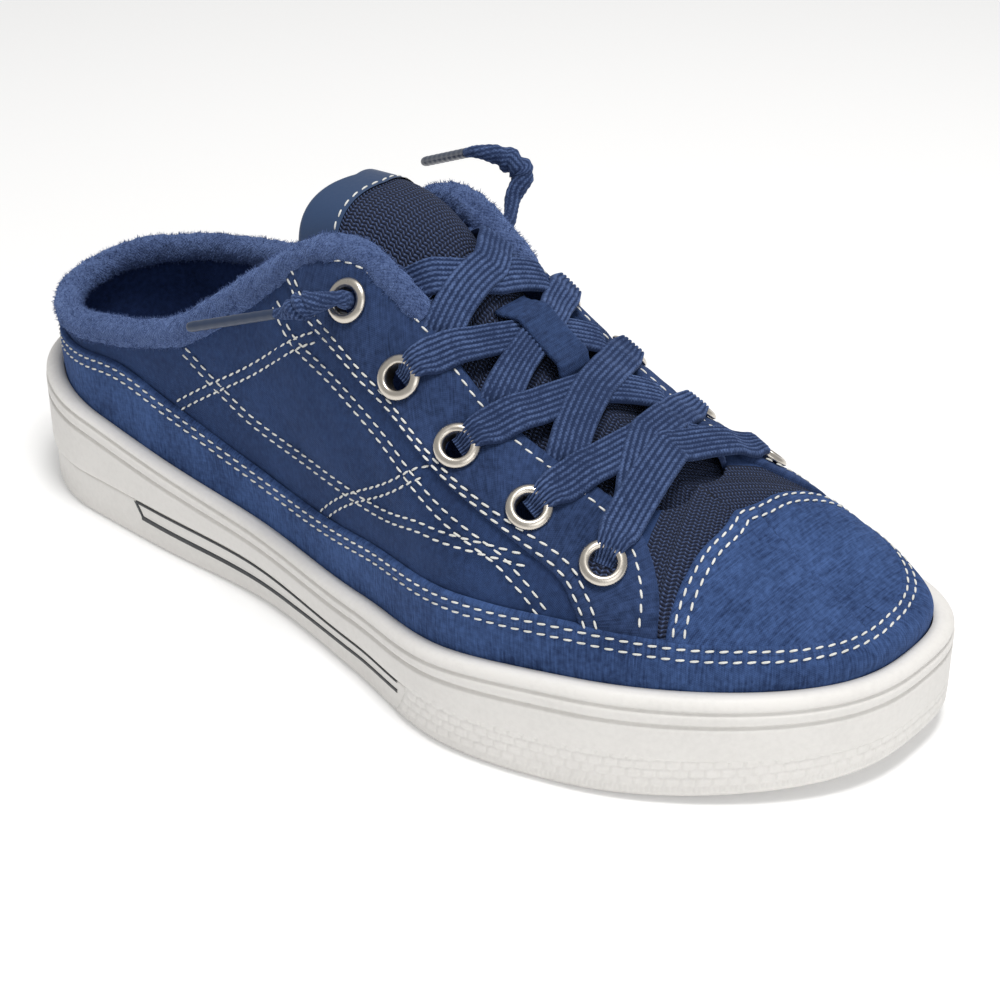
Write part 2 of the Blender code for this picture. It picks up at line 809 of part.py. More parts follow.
def skirt(side, s, offset):
    """Foot of a layer, standing on the cup's floor under the feather line."""
    line = foot_line(side, s, offset)
    line[:, 2] = sole_height(1, line[:, 0]) - CUP_DEPTH + GAP
    return line


def upper():
    """One hollow canvas wall, open at the collar and throat and underneath."""
    grids = []
    for side in (LATERAL, MEDIAL):
        s, h = shell(side)
        faces = []
        for offset in (BASE_OUT, BASE_IN):
            sheet = skin(side, s, h, np.full(h.shape, offset))
            faces.append(np.concatenate([skirt(side, s[:, 0], offset)[:, None], sheet], 1))
        grids += faces
        opened = slice(0, len(COLUMNS))
        grids.append(np.stack([faces[0][:, 0], faces[1][:, 0]], 1))
        grids.append(np.stack([faces[0][opened, -1], faces[1][opened, -1]], 1))
    return loft("upper", grids, "canvas")


def foxing():
    """Canvas band that wraps the foot of the upper and rises into a heel counter."""
    grids = []
    for side in (LATERAL, MEDIAL):
        s, h = shell(side)
        s, h = s[:, :FOOT_ROWS], h[:, :FOOT_ROWS]
        faces = []
        for offset in (0.0, -OVERLAY):
            sheet = skin(side, s, h, np.full(h.shape, offset))
            faces.append(np.concatenate([skirt(side, s[:, 0], offset)[:, None], sheet], 1))
        grids += faces
        grids.append(np.stack([faces[0][:, 0], faces[1][:, 0]], 1))
        grids.append(np.stack([faces[0][:, -1], faces[1][:, -1]], 1))
    return loft("foxing_band", grids, "canvas")


def above_foxing(side, s, h):
    """Move a grid's first row up to clear the foxing band's top edge."""
    h = h.copy()
    h[:, 0] = np.maximum(h[:, 0], foxing_top(side, s[:, 0]) + 2 * GAP / climb(side, s[:, 0], h[:, 0]))
    return h


def toe_cap():
    """Cap over the toe, from its curved edge to the foxing band, over both sides."""
    grids = []
    for side in (LATERAL, MEDIAL):
        s, h = shell(side)
        s, h = s[len(COLUMNS):, FOOT_ROWS - 1:], h[len(COLUMNS):, FOOT_ROWS - 1:]
        grids += patch(side, s, above_foxing(side, s, h), 0.0, -OVERLAY, rims="dl")
    return loft("toe_cap", grids, "canvas")


def eyestay(name, side):
    """Facing overlay that carries five eyelets, down to the foxing band in front."""
    s, h = shell(side)
    first = int(np.searchsorted([row[0] for row in COLUMNS], EYESTAY_START))
    columns = slice(first, FRONT_COLUMN + 1)
    rows = slice(FOOT_ROWS + 1, h.shape[1] - 1)
    s, h = s[columns, rows], h[columns, rows]
    return loft(name, patch(side, s, above_foxing(side, s, h), 0.0, -OVERLAY), "canvas")


def frame_at(side, s, h):
    """A point of the surface with its normal and its direction towards the ridge."""
    s = np.array([s])
    h = np.array([h])
    point = profile(side, s, h)[0]
    normal = normals(side, s, h)[0]
    up = (profile(side, s, h + 1e-3) - profile(side, s, h - 1e-3))[0]
    up -= normal * (up @ normal)
    up /= np.linalg.norm(up)
    return point, normal, up


def turned(name, side, number, outline, segments):
    """A piece turned about an eyelet's axis; outline gives radius and height rows."""
    row = EYELETS[number - 1]
    point, normal, up = frame_at(side, row[1], row[2])
    across = np.cross(up, normal)
    turn = np.linspace(0, 2 * np.pi, segments + 1)
    radial = across[None, :] * np.cos(turn)[:, None] + up[None, :] * np.sin(turn)[:, None]
    rows = [point + radial * radius + normal * height for radius, height in outline]
    return mesh_from(name, [np.stack(rows, 0)])


def eyelets():
    """Ten turned eyelets, and the guides for the holes that they pass through."""
    bore = EYELET_HOLE / 2
    barrel = EYELET_BARREL / 2
    rim = EYELET_DIAMETER / 2
    foot = BASE_IN - 0.0002
    seat = GAP + 0.0001
    outline = (
        (bore, foot), (barrel, foot), (barrel, seat), (rim, seat),
        (rim - 0.0010, seat + EYELET_RISE), (bore, seat + EYELET_RISE), (bore, foot),
    )
    hole = (
        (0.0, -0.012), (barrel + GAP, -0.012), (barrel + GAP, 0.006), (0.0, 0.006),
    )
    holes = []
    for side_name, side in SIDES.items():
        for number, _, _ in EYELETS:
            name = f"eyelet_{side_name}_{number}"
            add_object(name, turned(name, side, number, outline, 9), "metal")
            guide = f"hole_{side_name}_{number}"
            holes.append(bpy.data.objects.new(guide, turned(guide, side, number, hole, 9)))
    return guide_group("eyelet_guides", holes)


def collar_roll():
    """Padded fleece roll round the collar, over both lobes and a little down the throat."""
    s = np.array([row[1] for row in COLUMNS])
    s = np.append(s[s < ROLL_END - 0.006], ROLL_END)
    middle = (BASE_OUT + BASE_IN) / 2
    lines = []
    lifts = []
    for side in (LATERAL, MEDIAL):
        h = opening(side, s)
        lines.append(skin(side, s, h, np.full(s.shape, middle)))
        lifts.append(normals(side, s, h))
    path = np.concatenate([lines[0][::-1], lines[1][1:]])
    normal = np.concatenate([lifts[0][::-1], lifts[1][1:]])
    radius = np.full(len(path), ROLL_DIAMETER / 2)
    radius[[0, -1]] *= 0.6
    return loft("collar_roll", tube_grid(path, normal, radius, 8), "fleece")


# The tongue, its binding and the lace keeper
TONGUE_TOP = 0.395
TONGUE_BINDING = 0.432
TONGUE_FRONT = 0.790
TONGUE_SWEEP = 0.085


def tongue_depth(side, s, h):
    """How far the tongue's outer face lies under the last's surface."""
    edge = opening(side, s)
    beside_roll = ROLL_DIAMETER / 2 - BASE_OUT + WALL / 2 + GAP + BINDING_THICKNESS - TONGUE_THICKNESS
    under_wall = -BASE_IN + GAP + 0.0010
    deep = under_wall + (beside_roll - under_wall) * (1 - smooth_step(ROLL_END, ROLL_END + 0.04, s))
    puff = smooth_step(0.0, 1.0, (h - edge) / np.maximum(1 - edge, 0.05))
    middle = TONGUE_PUFF + (under_wall - TONGUE_PUFF) * smooth_step(0.70, 0.75, s)
    return deep + (middle - deep) * puff


def tongue_edge(s):
    """Share up the profile of the tongue's side edges: narrower towards the toe."""
    return 0.545 + 0.12 * smooth_step(0.42, 0.56, s)


def tongue_piece(name, s, thickness, lift, finish):
    """A curved pad across the instep between two stations."""
    t = np.linspace(0, 1, 5)
    grids = []
    for side in (LATERAL, MEDIAL):
        low = tongue_edge(s)
        h = low[:, None] + (1 - low)[:, None] * t[None, :]
        across = s[:, None] + TONGUE_SWEEP * (1 - h)
        depth = tongue_depth(side, across, h)
        grids += patch(side, across, h, lift - depth, lift - depth - thickness, rims="dlr")
    return loft(name, grids, finish)


def tongue():
    """Knit tongue from its binding down under the front of the throat."""
    s = np.concatenate([[TONGUE_BINDING], np.linspace(0.46, TONGUE_FRONT, 11)])
    return tongue_piece("tongue", s, TONGUE_THICKNESS, 0.0, "knit")


def tongue_binding():
    """Smooth binding folded over the tongue's top end."""
    edge = TONGUE_BINDING - GAP / (LENGTH * math.pi / 2 * math.sin(math.pi * TONGUE_BINDING))
    s = np.linspace(TONGUE_TOP, edge - 0.0005, 4)
    extra = (BINDING_THICKNESS - TONGUE_THICKNESS) / 2
    return tongue_piece("tongue_binding", s, BINDING_THICKNESS, extra, "binding")


def strap_path(strap):
    """Centre line of one lace strap over the throat, with its normals."""
    side_a, eyelet_a, end_a, side_b, eyelet_b, end_b = strap
    ends = []
    for side_name, number, kind in ((side_a, eyelet_a, end_a), (side_b, eyelet_b, end_b)):
        side = SIDES[side_name]
        _, s, h = EYELETS[number - 1]
        if kind == "under":
            edge = float(opening(side, np.array([s]))[0])
            clear = 0.0022
            if s < ROLL_END:
                clear = ROLL_DIAMETER * 0.95
            h = edge + clear / float(climb(side, np.array([s]), np.array([edge]))[0])
            s += UNDER_SHIFT if not ends else 0.0
        ends.append((side, s, h, EYELET_RISE + 5 * GAP if kind == "over" else GAP))
    (one, s_a, h_a, lift_a), (two, s_b, h_b, lift_b) = ends
    t = np.array(STRAP_POINTS)
    count = len(t)
    s = s_a + (s_b - s_a) * t
    reach = (1 - h_a) + (1 - h_b)
    way = t * reach
    first = way <= 1 - h_a
    h = np.where(first, h_a + way, 1 - (way - (1 - h_a)))
    points = np.empty((count, 3))
    normal = np.empty((count, 3))
    for side, mask in ((one, first), (two, ~first)):
        points[mask] = profile(side, s[mask], h[mask])
        normal[mask] = normals(side, s[mask], h[mask])
    lift = LACE_LIFT + (lift_a - LACE_LIFT) * smooth_step(0.62, 0.80, 1 - 2 * t)
    lift = lift + (lift_b - LACE_LIFT) * smooth_step(0.62, 0.80, 2 * t - 1)
    return points + normal * lift[:, None], normal


def laces():
    """All straps over the throat, joined where they cross."""
    bands = []
    for strap in STRAPS:
        path, normal = strap_path(strap)
        t = np.array(STRAP_POINTS)
        width = np.full(len(path), LACE_WIDTH)
        if strap[4] == KEPT_EYELET and strap[1] != KEPT_EYELET:
            width *= KEEPER_SQUEEZE + (1 - KEEPER_SQUEEZE) * smooth_step(0.1, 0.6, abs(2 * t - 1))
        for end, kind in ((0, strap[2]), (-1, strap[5])):
            if kind == "over":
                width[end] *= 0.6
        bands.append(ribbon_grid(path, normal, width, LACE_THICKNESS))
    piece = loft("lace_crossings", bands[0], "lace")
    guides = []
    for k, band in enumerate(bands[1:], 2):
        name = f"strap_{k}"
        guides.append(bpy.data.objects.new(name, mesh_from(name, band)))
    shape_with(piece, guide_group("lace_guides", guides), "UNION")
    return piece


KEEPER = (0.567, 0.628)


def keeper():
    """Ribbed loop sewn along the tongue, over the crossing of the second straps."""
    s = np.linspace(*KEEPER, 9)
    h = np.ones_like(s)
    t = np.linspace(-1, 1, 9)
    seat = -TONGUE_PUFF + 1.5 * GAP
    top = LACE_LIFT + LACE_THICKNESS + 7 * GAP
    lift = top + (seat - top) * smooth_step(0.62, 1.0, np.abs(t))
    path = profile(LATERAL, s, h) + normals(LATERAL, s, h) * lift[:, None]
    return loft("lace_keeper", ribbon_grid(path, normals(LATERAL, s, h), KEEPER_WIDTH, KEEPER_THICKNESS), "lace")


# lace ends: way from the top eyelet, in metres, along the shoe, outwards, upwards
LACE_ENDS = {
    "lateral": (
        (0.0000, 0.0000, 0.0000),
        (-0.0030, 0.0010, -0.0012),
        (-0.0065, 0.0030, -0.0024),
        (-0.0098, 0.0044, -0.0040),
        (-0.0126, 0.0048, -0.0058),
    ),
    "medial": (
        (0.0000, 0.0000, 0.0000),
        (-0.0027, 0.0053, 0.0042),
        (-0.0030, 0.0092, 0.0097),
        (-0.0072, 0.0079, 0.0128),
        (-0.0143, 0.0029, 0.0143),
    ),
}
AGLETS = {"lateral": (-0.914, 0.232, -0.331), "medial": (-0.858, 0.323, -0.402)}


def smooth_path(points, count):
    """Points along a smooth curve through a short list of points."""
    points = np.array(points, float)
    steps = np.linalg.norm(np.diff(points, axis=0), axis=1)
    where = np.concatenate([[0], np.cumsum(steps)])
    table = [(w, *p) for w, p in zip(where, points)]
    at = np.linspace(0, where[-1], count)
    return np.stack([curve(table, k, at) for k in (1, 2, 3)], 1)


def tube_object(name, points, radii, diameter, finish):
    """A round cord as a curve with a bevel, its thickness varied by point."""
    data = bpy.data.curves.new(name, "CURVE")
    data.dimensions = "3D"
    data.bevel_depth = diameter / 2
    data.bevel_resolution = 2
    data.use_fill_caps = True
    spline = data.splines.new("POLY")
    spline.points.add(len(points) - 1)
    for target, place, radius in zip(spline.points, points - ORIGIN, radii):
        target.co = (*place, 1)
        target.radius = radius
    data.materials.append(finish_material(finish))
    cord = bpy.data.objects.new(name, data)
    bpy.context.scene.collection.objects.link(cord)
    return cord


def lace_ends():
    """The two free lace ends at the top eyelets, each knotted and tipped with an aglet."""
    for side_name, route in LACE_ENDS.items():
        side = SIDES[side_name]
        outward = 2 * side - 1
        point, normal, _ = frame_at(side, EYELETS[0][1], EYELETS[0][2])
        start = point + normal * (GAP * 3 + EYELET_RISE + LACE_END_DIAMETER / 2)
        along_tip = np.array(AGLETS[side_name]) * (1, outward, 1)
        along_tip /= np.linalg.norm(along_tip)
        way = [point] + [start + np.array([dx, outward * dy, dz]) for dx, dy, dz in route]
        way += [way[-1] + along_tip * 0.0015, way[-1] + along_tip * 0.0035]
        path = smooth_path(way, 12)
        radii = [1.20, 1.15, 0.90, 1.05, 1.25, 1.45, 1.55, 1.50, 1.30, 1.00, 0.75, 0.65]
        tube_object(f"lace_end_{side_name}", path, radii, LACE_END_DIAMETER, "lace")
        first = path[-1] + along_tip * GAP * 2
        tip = np.stack([first + along_tip * AGLET_LENGTH * t for t in np.linspace(0, 1, 5)])
        tube_object(f"aglet_{side_name}", tip, [1.0] * 5, AGLET_DIAMETER, "aglet")


def build():
    """Make every piece of the shoe."""
    midsole()
    outsole()
    toe_bumper()
    insole()
    canvas = upper()
    foxing()
    toe_cap()
    stays = [eyestay(f"eyestay_{name}", side) for name, side in SIDES.items()]
    holes = eyelets()
    for piece in [canvas] + stays:
        shape_with(piece, holes, "DIFFERENCE")
    collar_roll()
    tongue()
    tongue_binding()
    laces()
    keeper()
    lace_ends()


build()
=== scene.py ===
# %% [markdown]
# # A backless canvas sneaker, dressed for a studio picture
# The solids of the shoe come from the frame. This lesson covers them with cloth, rubber,
# metal, thread and laces. All forms are read from one last: the wooden foot on which a
# shoemaker pulls the upper. Cloth lies a little above or below it.

import math

import bpy
import numpy as np
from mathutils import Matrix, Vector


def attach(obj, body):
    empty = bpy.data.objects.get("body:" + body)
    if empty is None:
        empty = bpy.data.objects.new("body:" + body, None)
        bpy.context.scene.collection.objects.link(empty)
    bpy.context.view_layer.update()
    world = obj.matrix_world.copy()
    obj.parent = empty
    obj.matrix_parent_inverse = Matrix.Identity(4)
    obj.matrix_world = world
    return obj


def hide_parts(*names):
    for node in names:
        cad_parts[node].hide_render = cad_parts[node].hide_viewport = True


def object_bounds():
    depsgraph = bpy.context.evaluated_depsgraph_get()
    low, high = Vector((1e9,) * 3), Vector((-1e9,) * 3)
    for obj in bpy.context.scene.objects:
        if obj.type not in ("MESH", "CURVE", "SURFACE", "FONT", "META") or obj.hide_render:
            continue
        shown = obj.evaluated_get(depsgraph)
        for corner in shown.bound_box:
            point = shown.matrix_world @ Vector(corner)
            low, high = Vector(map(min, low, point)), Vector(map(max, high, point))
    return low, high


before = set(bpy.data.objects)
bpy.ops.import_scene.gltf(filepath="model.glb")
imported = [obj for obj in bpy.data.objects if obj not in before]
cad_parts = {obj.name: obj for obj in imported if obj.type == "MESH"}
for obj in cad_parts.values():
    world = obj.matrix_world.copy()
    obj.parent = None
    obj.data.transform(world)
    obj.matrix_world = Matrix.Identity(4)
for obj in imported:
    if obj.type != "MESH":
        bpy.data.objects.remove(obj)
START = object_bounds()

LOW, HIGH = (np.array(corner, float) for corner in START)
print("solids:", len(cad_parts))
print("size in mm:", np.round((HIGH - LOW) * 1000, 1))

# %% [markdown]
# ## The camera
# The picture is taken from the front and the outer side, from a little above, with a long
# lens. A long lens keeps the toe from looking too big. It is made first, so that every later
# step can be looked at. Angles give its place: azimuth is turned from the side view.

# %% Camera
MM = 0.001
LENGTH = 275.0 * MM
BALL_WIDTH = 95.5 * MM
SOLE_HEIGHT = 36.0 * MM
INSTEP_HEIGHT = 112.0 * MM
AZIMUTH, ELEVATION = math.radians(40.8), math.radians(30.2)
CAMERA_DISTANCE = 526.6 * MM
CAMERA_LENS = 76.6
CAMERA_TARGET = np.array([167.3, -7.4, 40.0]) * MM


def make_camera(middle):
    """Place the camera on a sphere round the target and turn it to look at the target."""
    back = np.array([
        math.sin(AZIMUTH) * math.cos(ELEVATION),
        -math.cos(AZIMUTH) * math.cos(ELEVATION),
        math.sin(ELEVATION),
    ])
    data = bpy.data.cameras.new("studio_camera")
    data.lens = CAMERA_LENS
    data.sensor_width = 36
    camera = bpy.data.objects.new("studio_camera", data)
    bpy.context.scene.collection.objects.link(camera)
    camera.location = CAMERA_TARGET - middle + back * CAMERA_DISTANCE
    camera.rotation_euler = (math.pi / 2 - ELEVATION, 0, AZIMUTH)
    bpy.context.scene.camera = camera
    return camera


# %% [markdown]
# ## The last
# A last is described by a few curves. The plan gives the outline from above, the feather line
# is where cloth meets sole, and the ridge runs over the middle of the foot. Between feather
# line and ridge, one cubic curve for each station makes the wall. Short tables hold the
# curves as shares of the shoe's own sizes, so a bigger shoe is the same table.

# %% Tables of the last
HEEL_ROUND, TOE_ROUND, TOE_SQUARENESS = 38.7 * MM, 69.0 * MM, 2.7
FEATHER_INSET = 5.0 * MM
RIDGE_START, RIDGE_END = 0.164, 0.902
LATERAL, MEDIAL = 0, 1
BOTH = (("lateral", LATERAL), ("medial", MEDIAL))

# share of the length; centre, lateral half and medial half as shares of the ball width
PLAN = (
    (0.00, 0.000, 0.361, 0.340),
    (0.12, -0.003, 0.373, 0.340),
    (0.25, -0.004, 0.386, 0.340),
    (0.40, -0.023, 0.370, 0.346),
    (0.55, -0.052, 0.422, 0.382),
    (0.68, -0.027, 0.529, 0.455),
    (0.80, 0.037, 0.524, 0.476),
    (1.00, 0.188, 0.429, 0.440),
)
# share of the length; feather line, sole split, upper and lower groove depths of the sole
SOLE = (
    (0.00, 1.000, 0.345, 0.045, 0.175),
    (0.12, 0.893, 0.345, 0.045, 0.155),
    (0.25, 0.750, 0.345, 0.045, 0.145),
    (0.36, 0.640, 0.320, 0.055, 0.140),
    (0.50, 0.583, 0.272, 0.060, 0.140),
    (0.60, 0.640, 0.286, 0.080, 0.160),
    (0.75, 0.772, 0.320, 0.090, 0.190),
    (1.00, 0.795, 0.330, 0.085, 0.180),
)
# share along the ridge; height of the instep, centre of the ball width
RIDGE = (
    (0.000, 0.821, 0.000),
    (0.222, 0.955, -0.005),
    (0.345, 1.000, -0.010),
    (0.478, 0.978, -0.014),
    (0.567, 0.862, -0.016),
    (0.655, 0.741, -0.010),
    (0.759, 0.638, 0.000),
    (0.862, 0.554, 0.015),
    (0.936, 0.482, 0.045),
    (1.000, 0.402, 0.084),
)
# station; rise of the wall, outward lean, fullness of the lateral and medial shoulders
FORM = (
    (0.00, 0.60, 0.031, 0.50, 0.50),
    (0.20, 0.68, 0.042, 0.67, 0.67),
    (0.40, 0.80, 0.047, 0.87, 0.87),
    (0.55, 0.78, 0.047, 0.90, 0.94),
    (0.70, 0.50, 0.031, 0.88, 0.72),
    (0.85, 0.42, 0.021, 0.78, 0.66),
    (1.00, 0.56, 0.031, 0.70, 0.70),
)
# station; share up the wall of the collar's and the facing's edge, lateral and medial
OPENING = (
    (0.000, 0.200, 0.200),
    (0.060, 0.188, 0.222),
    (0.160, 0.175, 0.237),
    (0.250, 0.195, 0.242),
    (0.315, 0.225, 0.252),
    (0.356, 0.262, 0.278),
    (0.397, 0.345, 0.345),
    (0.440, 0.490, 0.490),
    (0.457, 0.565, 0.565),
    (0.472, 0.620, 0.620),
    (0.493, 0.680, 0.680),
    (0.517, 0.715, 0.715),
    (0.556, 0.750, 0.750),
    (0.600, 0.765, 0.765),
    (0.690, 0.785, 0.785),
)
THROAT_ROUND, THROAT_END, ROLL_END = 0.700, 0.762, 0.548

# %% [markdown]
# A table gives a smooth curve when each stretch between two rows is a cubic that keeps the
# slope of its neighbours. Blender has curves too, but numpy reads a whole array of places in
# one call, and the same function serves heights, widths and edges.

# %% Curves through tables


def curve(table, column, at):
    """Cubic through a table's column: each stretch leaves and arrives with a shared slope."""
    xs, ys = (np.array([row[k] for row in table], float) for k in (0, column))
    at = np.asarray(at, float)
    step = np.diff(xs)
    rate = np.diff(ys) / step
    slope = np.concatenate([rate[:1], rate[:-1], rate[-1:]])
    slope[1:-1] = (rate[:-1] * step[1:] + rate[1:] * step[:-1]) / (step[1:] + step[:-1])
    i = np.clip(np.searchsorted(xs, at) - 1, 0, len(xs) - 2)
    t = np.clip((at - xs[i]) / step[i], 0.0, 1.0)
    near = ys[i] * (2 * t**3 - 3 * t**2 + 1) + slope[i] * step[i] * (t**3 - 2 * t**2 + t)
    return near + ys[i + 1] * (3 * t**2 - 2 * t**3) + slope[i + 1] * step[i] * (t**3 - t**2)


def smooth_step(low, high, at):
    """0 below low and 1 above high, with level ends between."""
    t = np.clip((np.asarray(at, float) - low) / (high - low), 0.0, 1.0)
    return t * t * (3 - 2 * t)


def plan(side, s, inset):
    """Outline from above: half an ellipse at the heel, a squarer round at the toe."""
    x = inset + (1 - np.cos(np.pi * np.asarray(s, float))) / 2 * (LENGTH - 2 * inset)
    share = x / LENGTH
    half = curve(PLAN, 2 + side, share) * BALL_WIDTH - inset
    heel = np.clip((HEEL_ROUND - (x - inset)) / HEEL_ROUND, 0, 1)
    toe = np.clip((x + inset - (LENGTH - TOE_ROUND)) / TOE_ROUND, 0, 1)
    ends = np.sqrt(np.clip(1 - heel**2, 0, 1))
    ends = ends * np.clip(1 - toe**TOE_SQUARENESS, 0, 1) ** (1 / TOE_SQUARENESS)
    return x, curve(PLAN, 1, share) * BALL_WIDTH + (2 * side - 1) * half * ends


def sole_height(column, x):
    """A height from the sole's table at a distance from the heel."""
    return curve(SOLE, column, np.asarray(x) / LENGTH) * SOLE_HEIGHT


MIDDLE = np.array([
    LENGTH / 2,
    (plan(LATERAL, np.linspace(0, 1, 801), 0)[1].min() + plan(MEDIAL, np.linspace(0, 1, 801), 0)[1].max()) / 2,
    0.0,
])
CAMERA = make_camera(MIDDLE)
print("origin of the last in mm:", np.round(MIDDLE * 1000, 2))

# %% [markdown]
# The wall between feather line and ridge is a cubic Bezier curve. Its first handle goes up
# and a little out, which gives the wall its lean. Its second handle lies level beside the
# ridge, which gives a flat or a peaked instep. The surface takes whole arrays of stations
# and shares, so a panel of cloth is one call.

# %% Surface of the last


def profile(side, s, h):
    """Point of the last: cubic Bezier from feather line to ridge at the share h."""
    s, h = np.broadcast_arrays(np.asarray(s, float), np.asarray(h, float))
    x, y = plan(side, s, FEATHER_INSET)
    foot = np.stack([x, y, sole_height(1, x)], -1)
    share = (1 - np.cos(np.pi * s)) / 2
    run = (RIDGE_END - RIDGE_START) * LENGTH
    top = np.stack([
        RIDGE_START * LENGTH + share * run,
        curve(RIDGE, 2, share) * BALL_WIDTH,
        curve(RIDGE, 1, share) * INSTEP_HEIGHT,
    ], -1)
    ahead, behind = np.clip(share + 0.005, 0, 1), np.clip(share - 0.005, 0, 1)
    slope = (curve(RIDGE, 1, ahead) - curve(RIDGE, 1, behind)) * INSTEP_HEIGHT / ((ahead - behind) * run)
    flat = (foot - top) * (1, 1, 0)
    reach = np.linalg.norm(flat, axis=-1)
    out = flat / np.maximum(reach, 1e-9)[..., None]
    wall = foot + out * (curve(FORM, 2, s) * BALL_WIDTH)[..., None]
    wall[..., 2] += (top[..., 2] - foot[..., 2]) * curve(FORM, 1, s)
    full = reach * curve(FORM, 3 + side, s)
    shoulder = top + out * full[..., None]
    shoulder[..., 2] += slope * out[..., 0] * full
    h = h[..., None]
    low = foot * (1 - h) ** 3 + 3 * wall * h * (1 - h) ** 2
    return low + 3 * shoulder * h**2 * (1 - h) + top * h**3


def side_normal(side, s, h):
    """Outward normal from small steps along the surface and up it."""
    small = 2e-3
    s0, s1 = np.clip(s - small, 0, 1), np.clip(s + small, 0, 1)
    h0, h1 = np.clip(h - small, 0, 1), np.clip(h + small, 0, 1)
    forward = profile(side, s1, h) - profile(side, s0, h)
    upward = profile(side, s, h1) - profile(side, s, h0)
    normal = np.cross(forward, upward) * (1 if side == LATERAL else -1)
    return normal / np.maximum(np.linalg.norm(normal, axis=-1, keepdims=True), 1e-12)


def normals(side, s, h):
    """Outward normals; at ridge, heel and toe both sides share the mean of the two."""
    s, h = np.broadcast_arrays(np.asarray(s, float), np.asarray(h, float))
    s_in, h_in = np.clip(s, 3e-3, 1 - 3e-3), np.clip(h, 0, 1 - 3e-3)
    own = side_normal(side, s_in, h_in)
    other = side_normal(1 - side, s_in, h_in)
    near = np.maximum(smooth_step(0.985, 1.0, h), np.maximum(1 - smooth_step(0, 0.02, s), smooth_step(0.985, 1.0, s)))
    both = own + other * near[..., None]
    return both / np.linalg.norm(both, axis=-1, keepdims=True)


def skin(side, s, h, offset):
    """The last's surface moved out along its normals by offset."""
    s, h = np.broadcast_arrays(np.asarray(s, float), np.asarray(h, float))
    return profile(side, s, h) + normals(side, s, h) * np.broadcast_to(offset, s.shape)[..., None]


def opening(side, s):
    """Share up the wall where it ends at collar and throat; it closes in a round to 1."""
    level = curve(OPENING, 1 + side, s)
    t = np.clip((np.asarray(s) - THROAT_ROUND) / (THROAT_END - THROAT_ROUND), 0, 1)
    closed = level + (1 - level) * (1 - np.sqrt(1 - t * t))
    return np.where(np.asarray(s) >= THROAT_END, 1.0, closed)


print("top of the instep in mm:", np.round(profile(LATERAL, 0.40, 1.0) * 1000, 1))

# %% [markdown]
# Two ways of walking over the last are enough for all panels. One goes across the foot, from
# the outer feather line over the ridge to the inner one. The other goes round the foot, from
# the heel along the outer side to the toe and back along the inner side.

# %% Walking over the last


def over(s, w, offset=0.0):
    """Point across the foot: w from 0 to 1 is the outer side, from 1 to 2 the inner side."""
    s, w, offset = np.broadcast_arrays(np.asarray(s, float), np.asarray(w, float), np.asarray(offset, float))
    outer = skin(LATERAL, s, np.clip(w, 0, 1), offset)
    inner = skin(MEDIAL, s, np.clip(2 - w, 0, 1), offset)
    return np.where((w <= 1)[..., None], outer, inner)


def around(p, h, offset=0.0):
    """Point round the foot: p from 0 to 1 is the outer side, from 1 to 2 back along the inner."""
    p, h, offset = np.broadcast_arrays(np.asarray(p, float), np.asarray(h, float), np.asarray(offset, float))
    outer = skin(LATERAL, np.clip(p, 0, 1), h, offset)
    inner = skin(MEDIAL, np.clip(2 - p, 0, 1), h, offset)
    return np.where((p <= 1)[..., None], outer, inner)


def by_side(function, p, *rest):
    """Read a function of side and station at places p round the foot."""
    p = np.asarray(p, float)
    outer = function(LATERAL, np.clip(p, 0, 1), *rest)
    return np.where(p <= 1, outer, function(MEDIAL, np.clip(2 - p, 0, 1), *rest))


def lengths(points, axis):
    """Distance walked along one axis of a grid of points, starting at 0."""
    step = np.linalg.norm(np.diff(points, axis=axis), axis=-1)
    start = np.zeros_like(np.take(step, [0], axis))
    return np.concatenate([start, np.cumsum(step, axis)], axis)


def even_path(points, step):
    """The same path at equal steps; columns after the third go along with the points."""
    far = lengths(points[:, :3], 0)
    at = np.linspace(0, far[-1], max(2, int(round(far[-1] / step)) + 1))
    return np.stack([np.interp(at, far, points[:, k]) for k in range(points.shape[1])], 1)


def clustered(count, edge_share):
    """Shares from 0 to 1 that are even inside and crowd within edge_share of both ends."""
    rim = np.array([0.0, 0.08, 0.25, 0.5, 0.8]) * edge_share
    inside = np.linspace(edge_share, 1 - edge_share, count)
    return np.concatenate([rim, inside, 1 - rim[::-1]])


# %% [markdown]
# ## Turning arrays into meshes
# A grid of points becomes a mesh with one square face between four neighbours. The UV map
# holds real distances along the cloth, in metres, so a weave keeps its size on every panel.

# %% Mesh from a grid
HOLE_RADIUS = 3.6 * MM


def mesh_object(name, points, faces, material, uv=None):
    """One smooth mesh piece that rides with the shoe; uv has one pair for each point."""
    mesh = bpy.data.meshes.new(name)
    mesh.from_pydata((points - MIDDLE).tolist(), [], faces.tolist())
    if uv is not None:
        layer = mesh.uv_layers.new(name="cloth")
        index = np.empty(len(mesh.loops), np.int32)
        mesh.loops.foreach_get("vertex_index", index)
        layer.data.foreach_set("uv", uv[index].astype(np.float32).ravel())
    mesh.shade_smooth()
    mesh.materials.append(material)
    piece = bpy.data.objects.new(name, mesh)
    bpy.context.scene.collection.objects.link(piece)
    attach(piece, "root")
    return piece


def grid_faces(rows, columns):
    """Corner numbers of the square faces of a grid."""
    corner = np.arange(rows * columns).reshape(rows, columns)
    quads = [corner[:-1, :-1], corner[:-1, 1:], corner[1:, 1:], corner[1:, :-1]]
    return np.stack(quads, -1).reshape(-1, 4)


def cloth_uv(grid):
    """Distances along the two ways of a grid, as its UV map."""
    u = np.broadcast_to(lengths(grid, 0).mean(1, keepdims=True), grid.shape[:2])
    return np.stack([u, lengths(grid, 1)], -1).reshape(-1, 2)


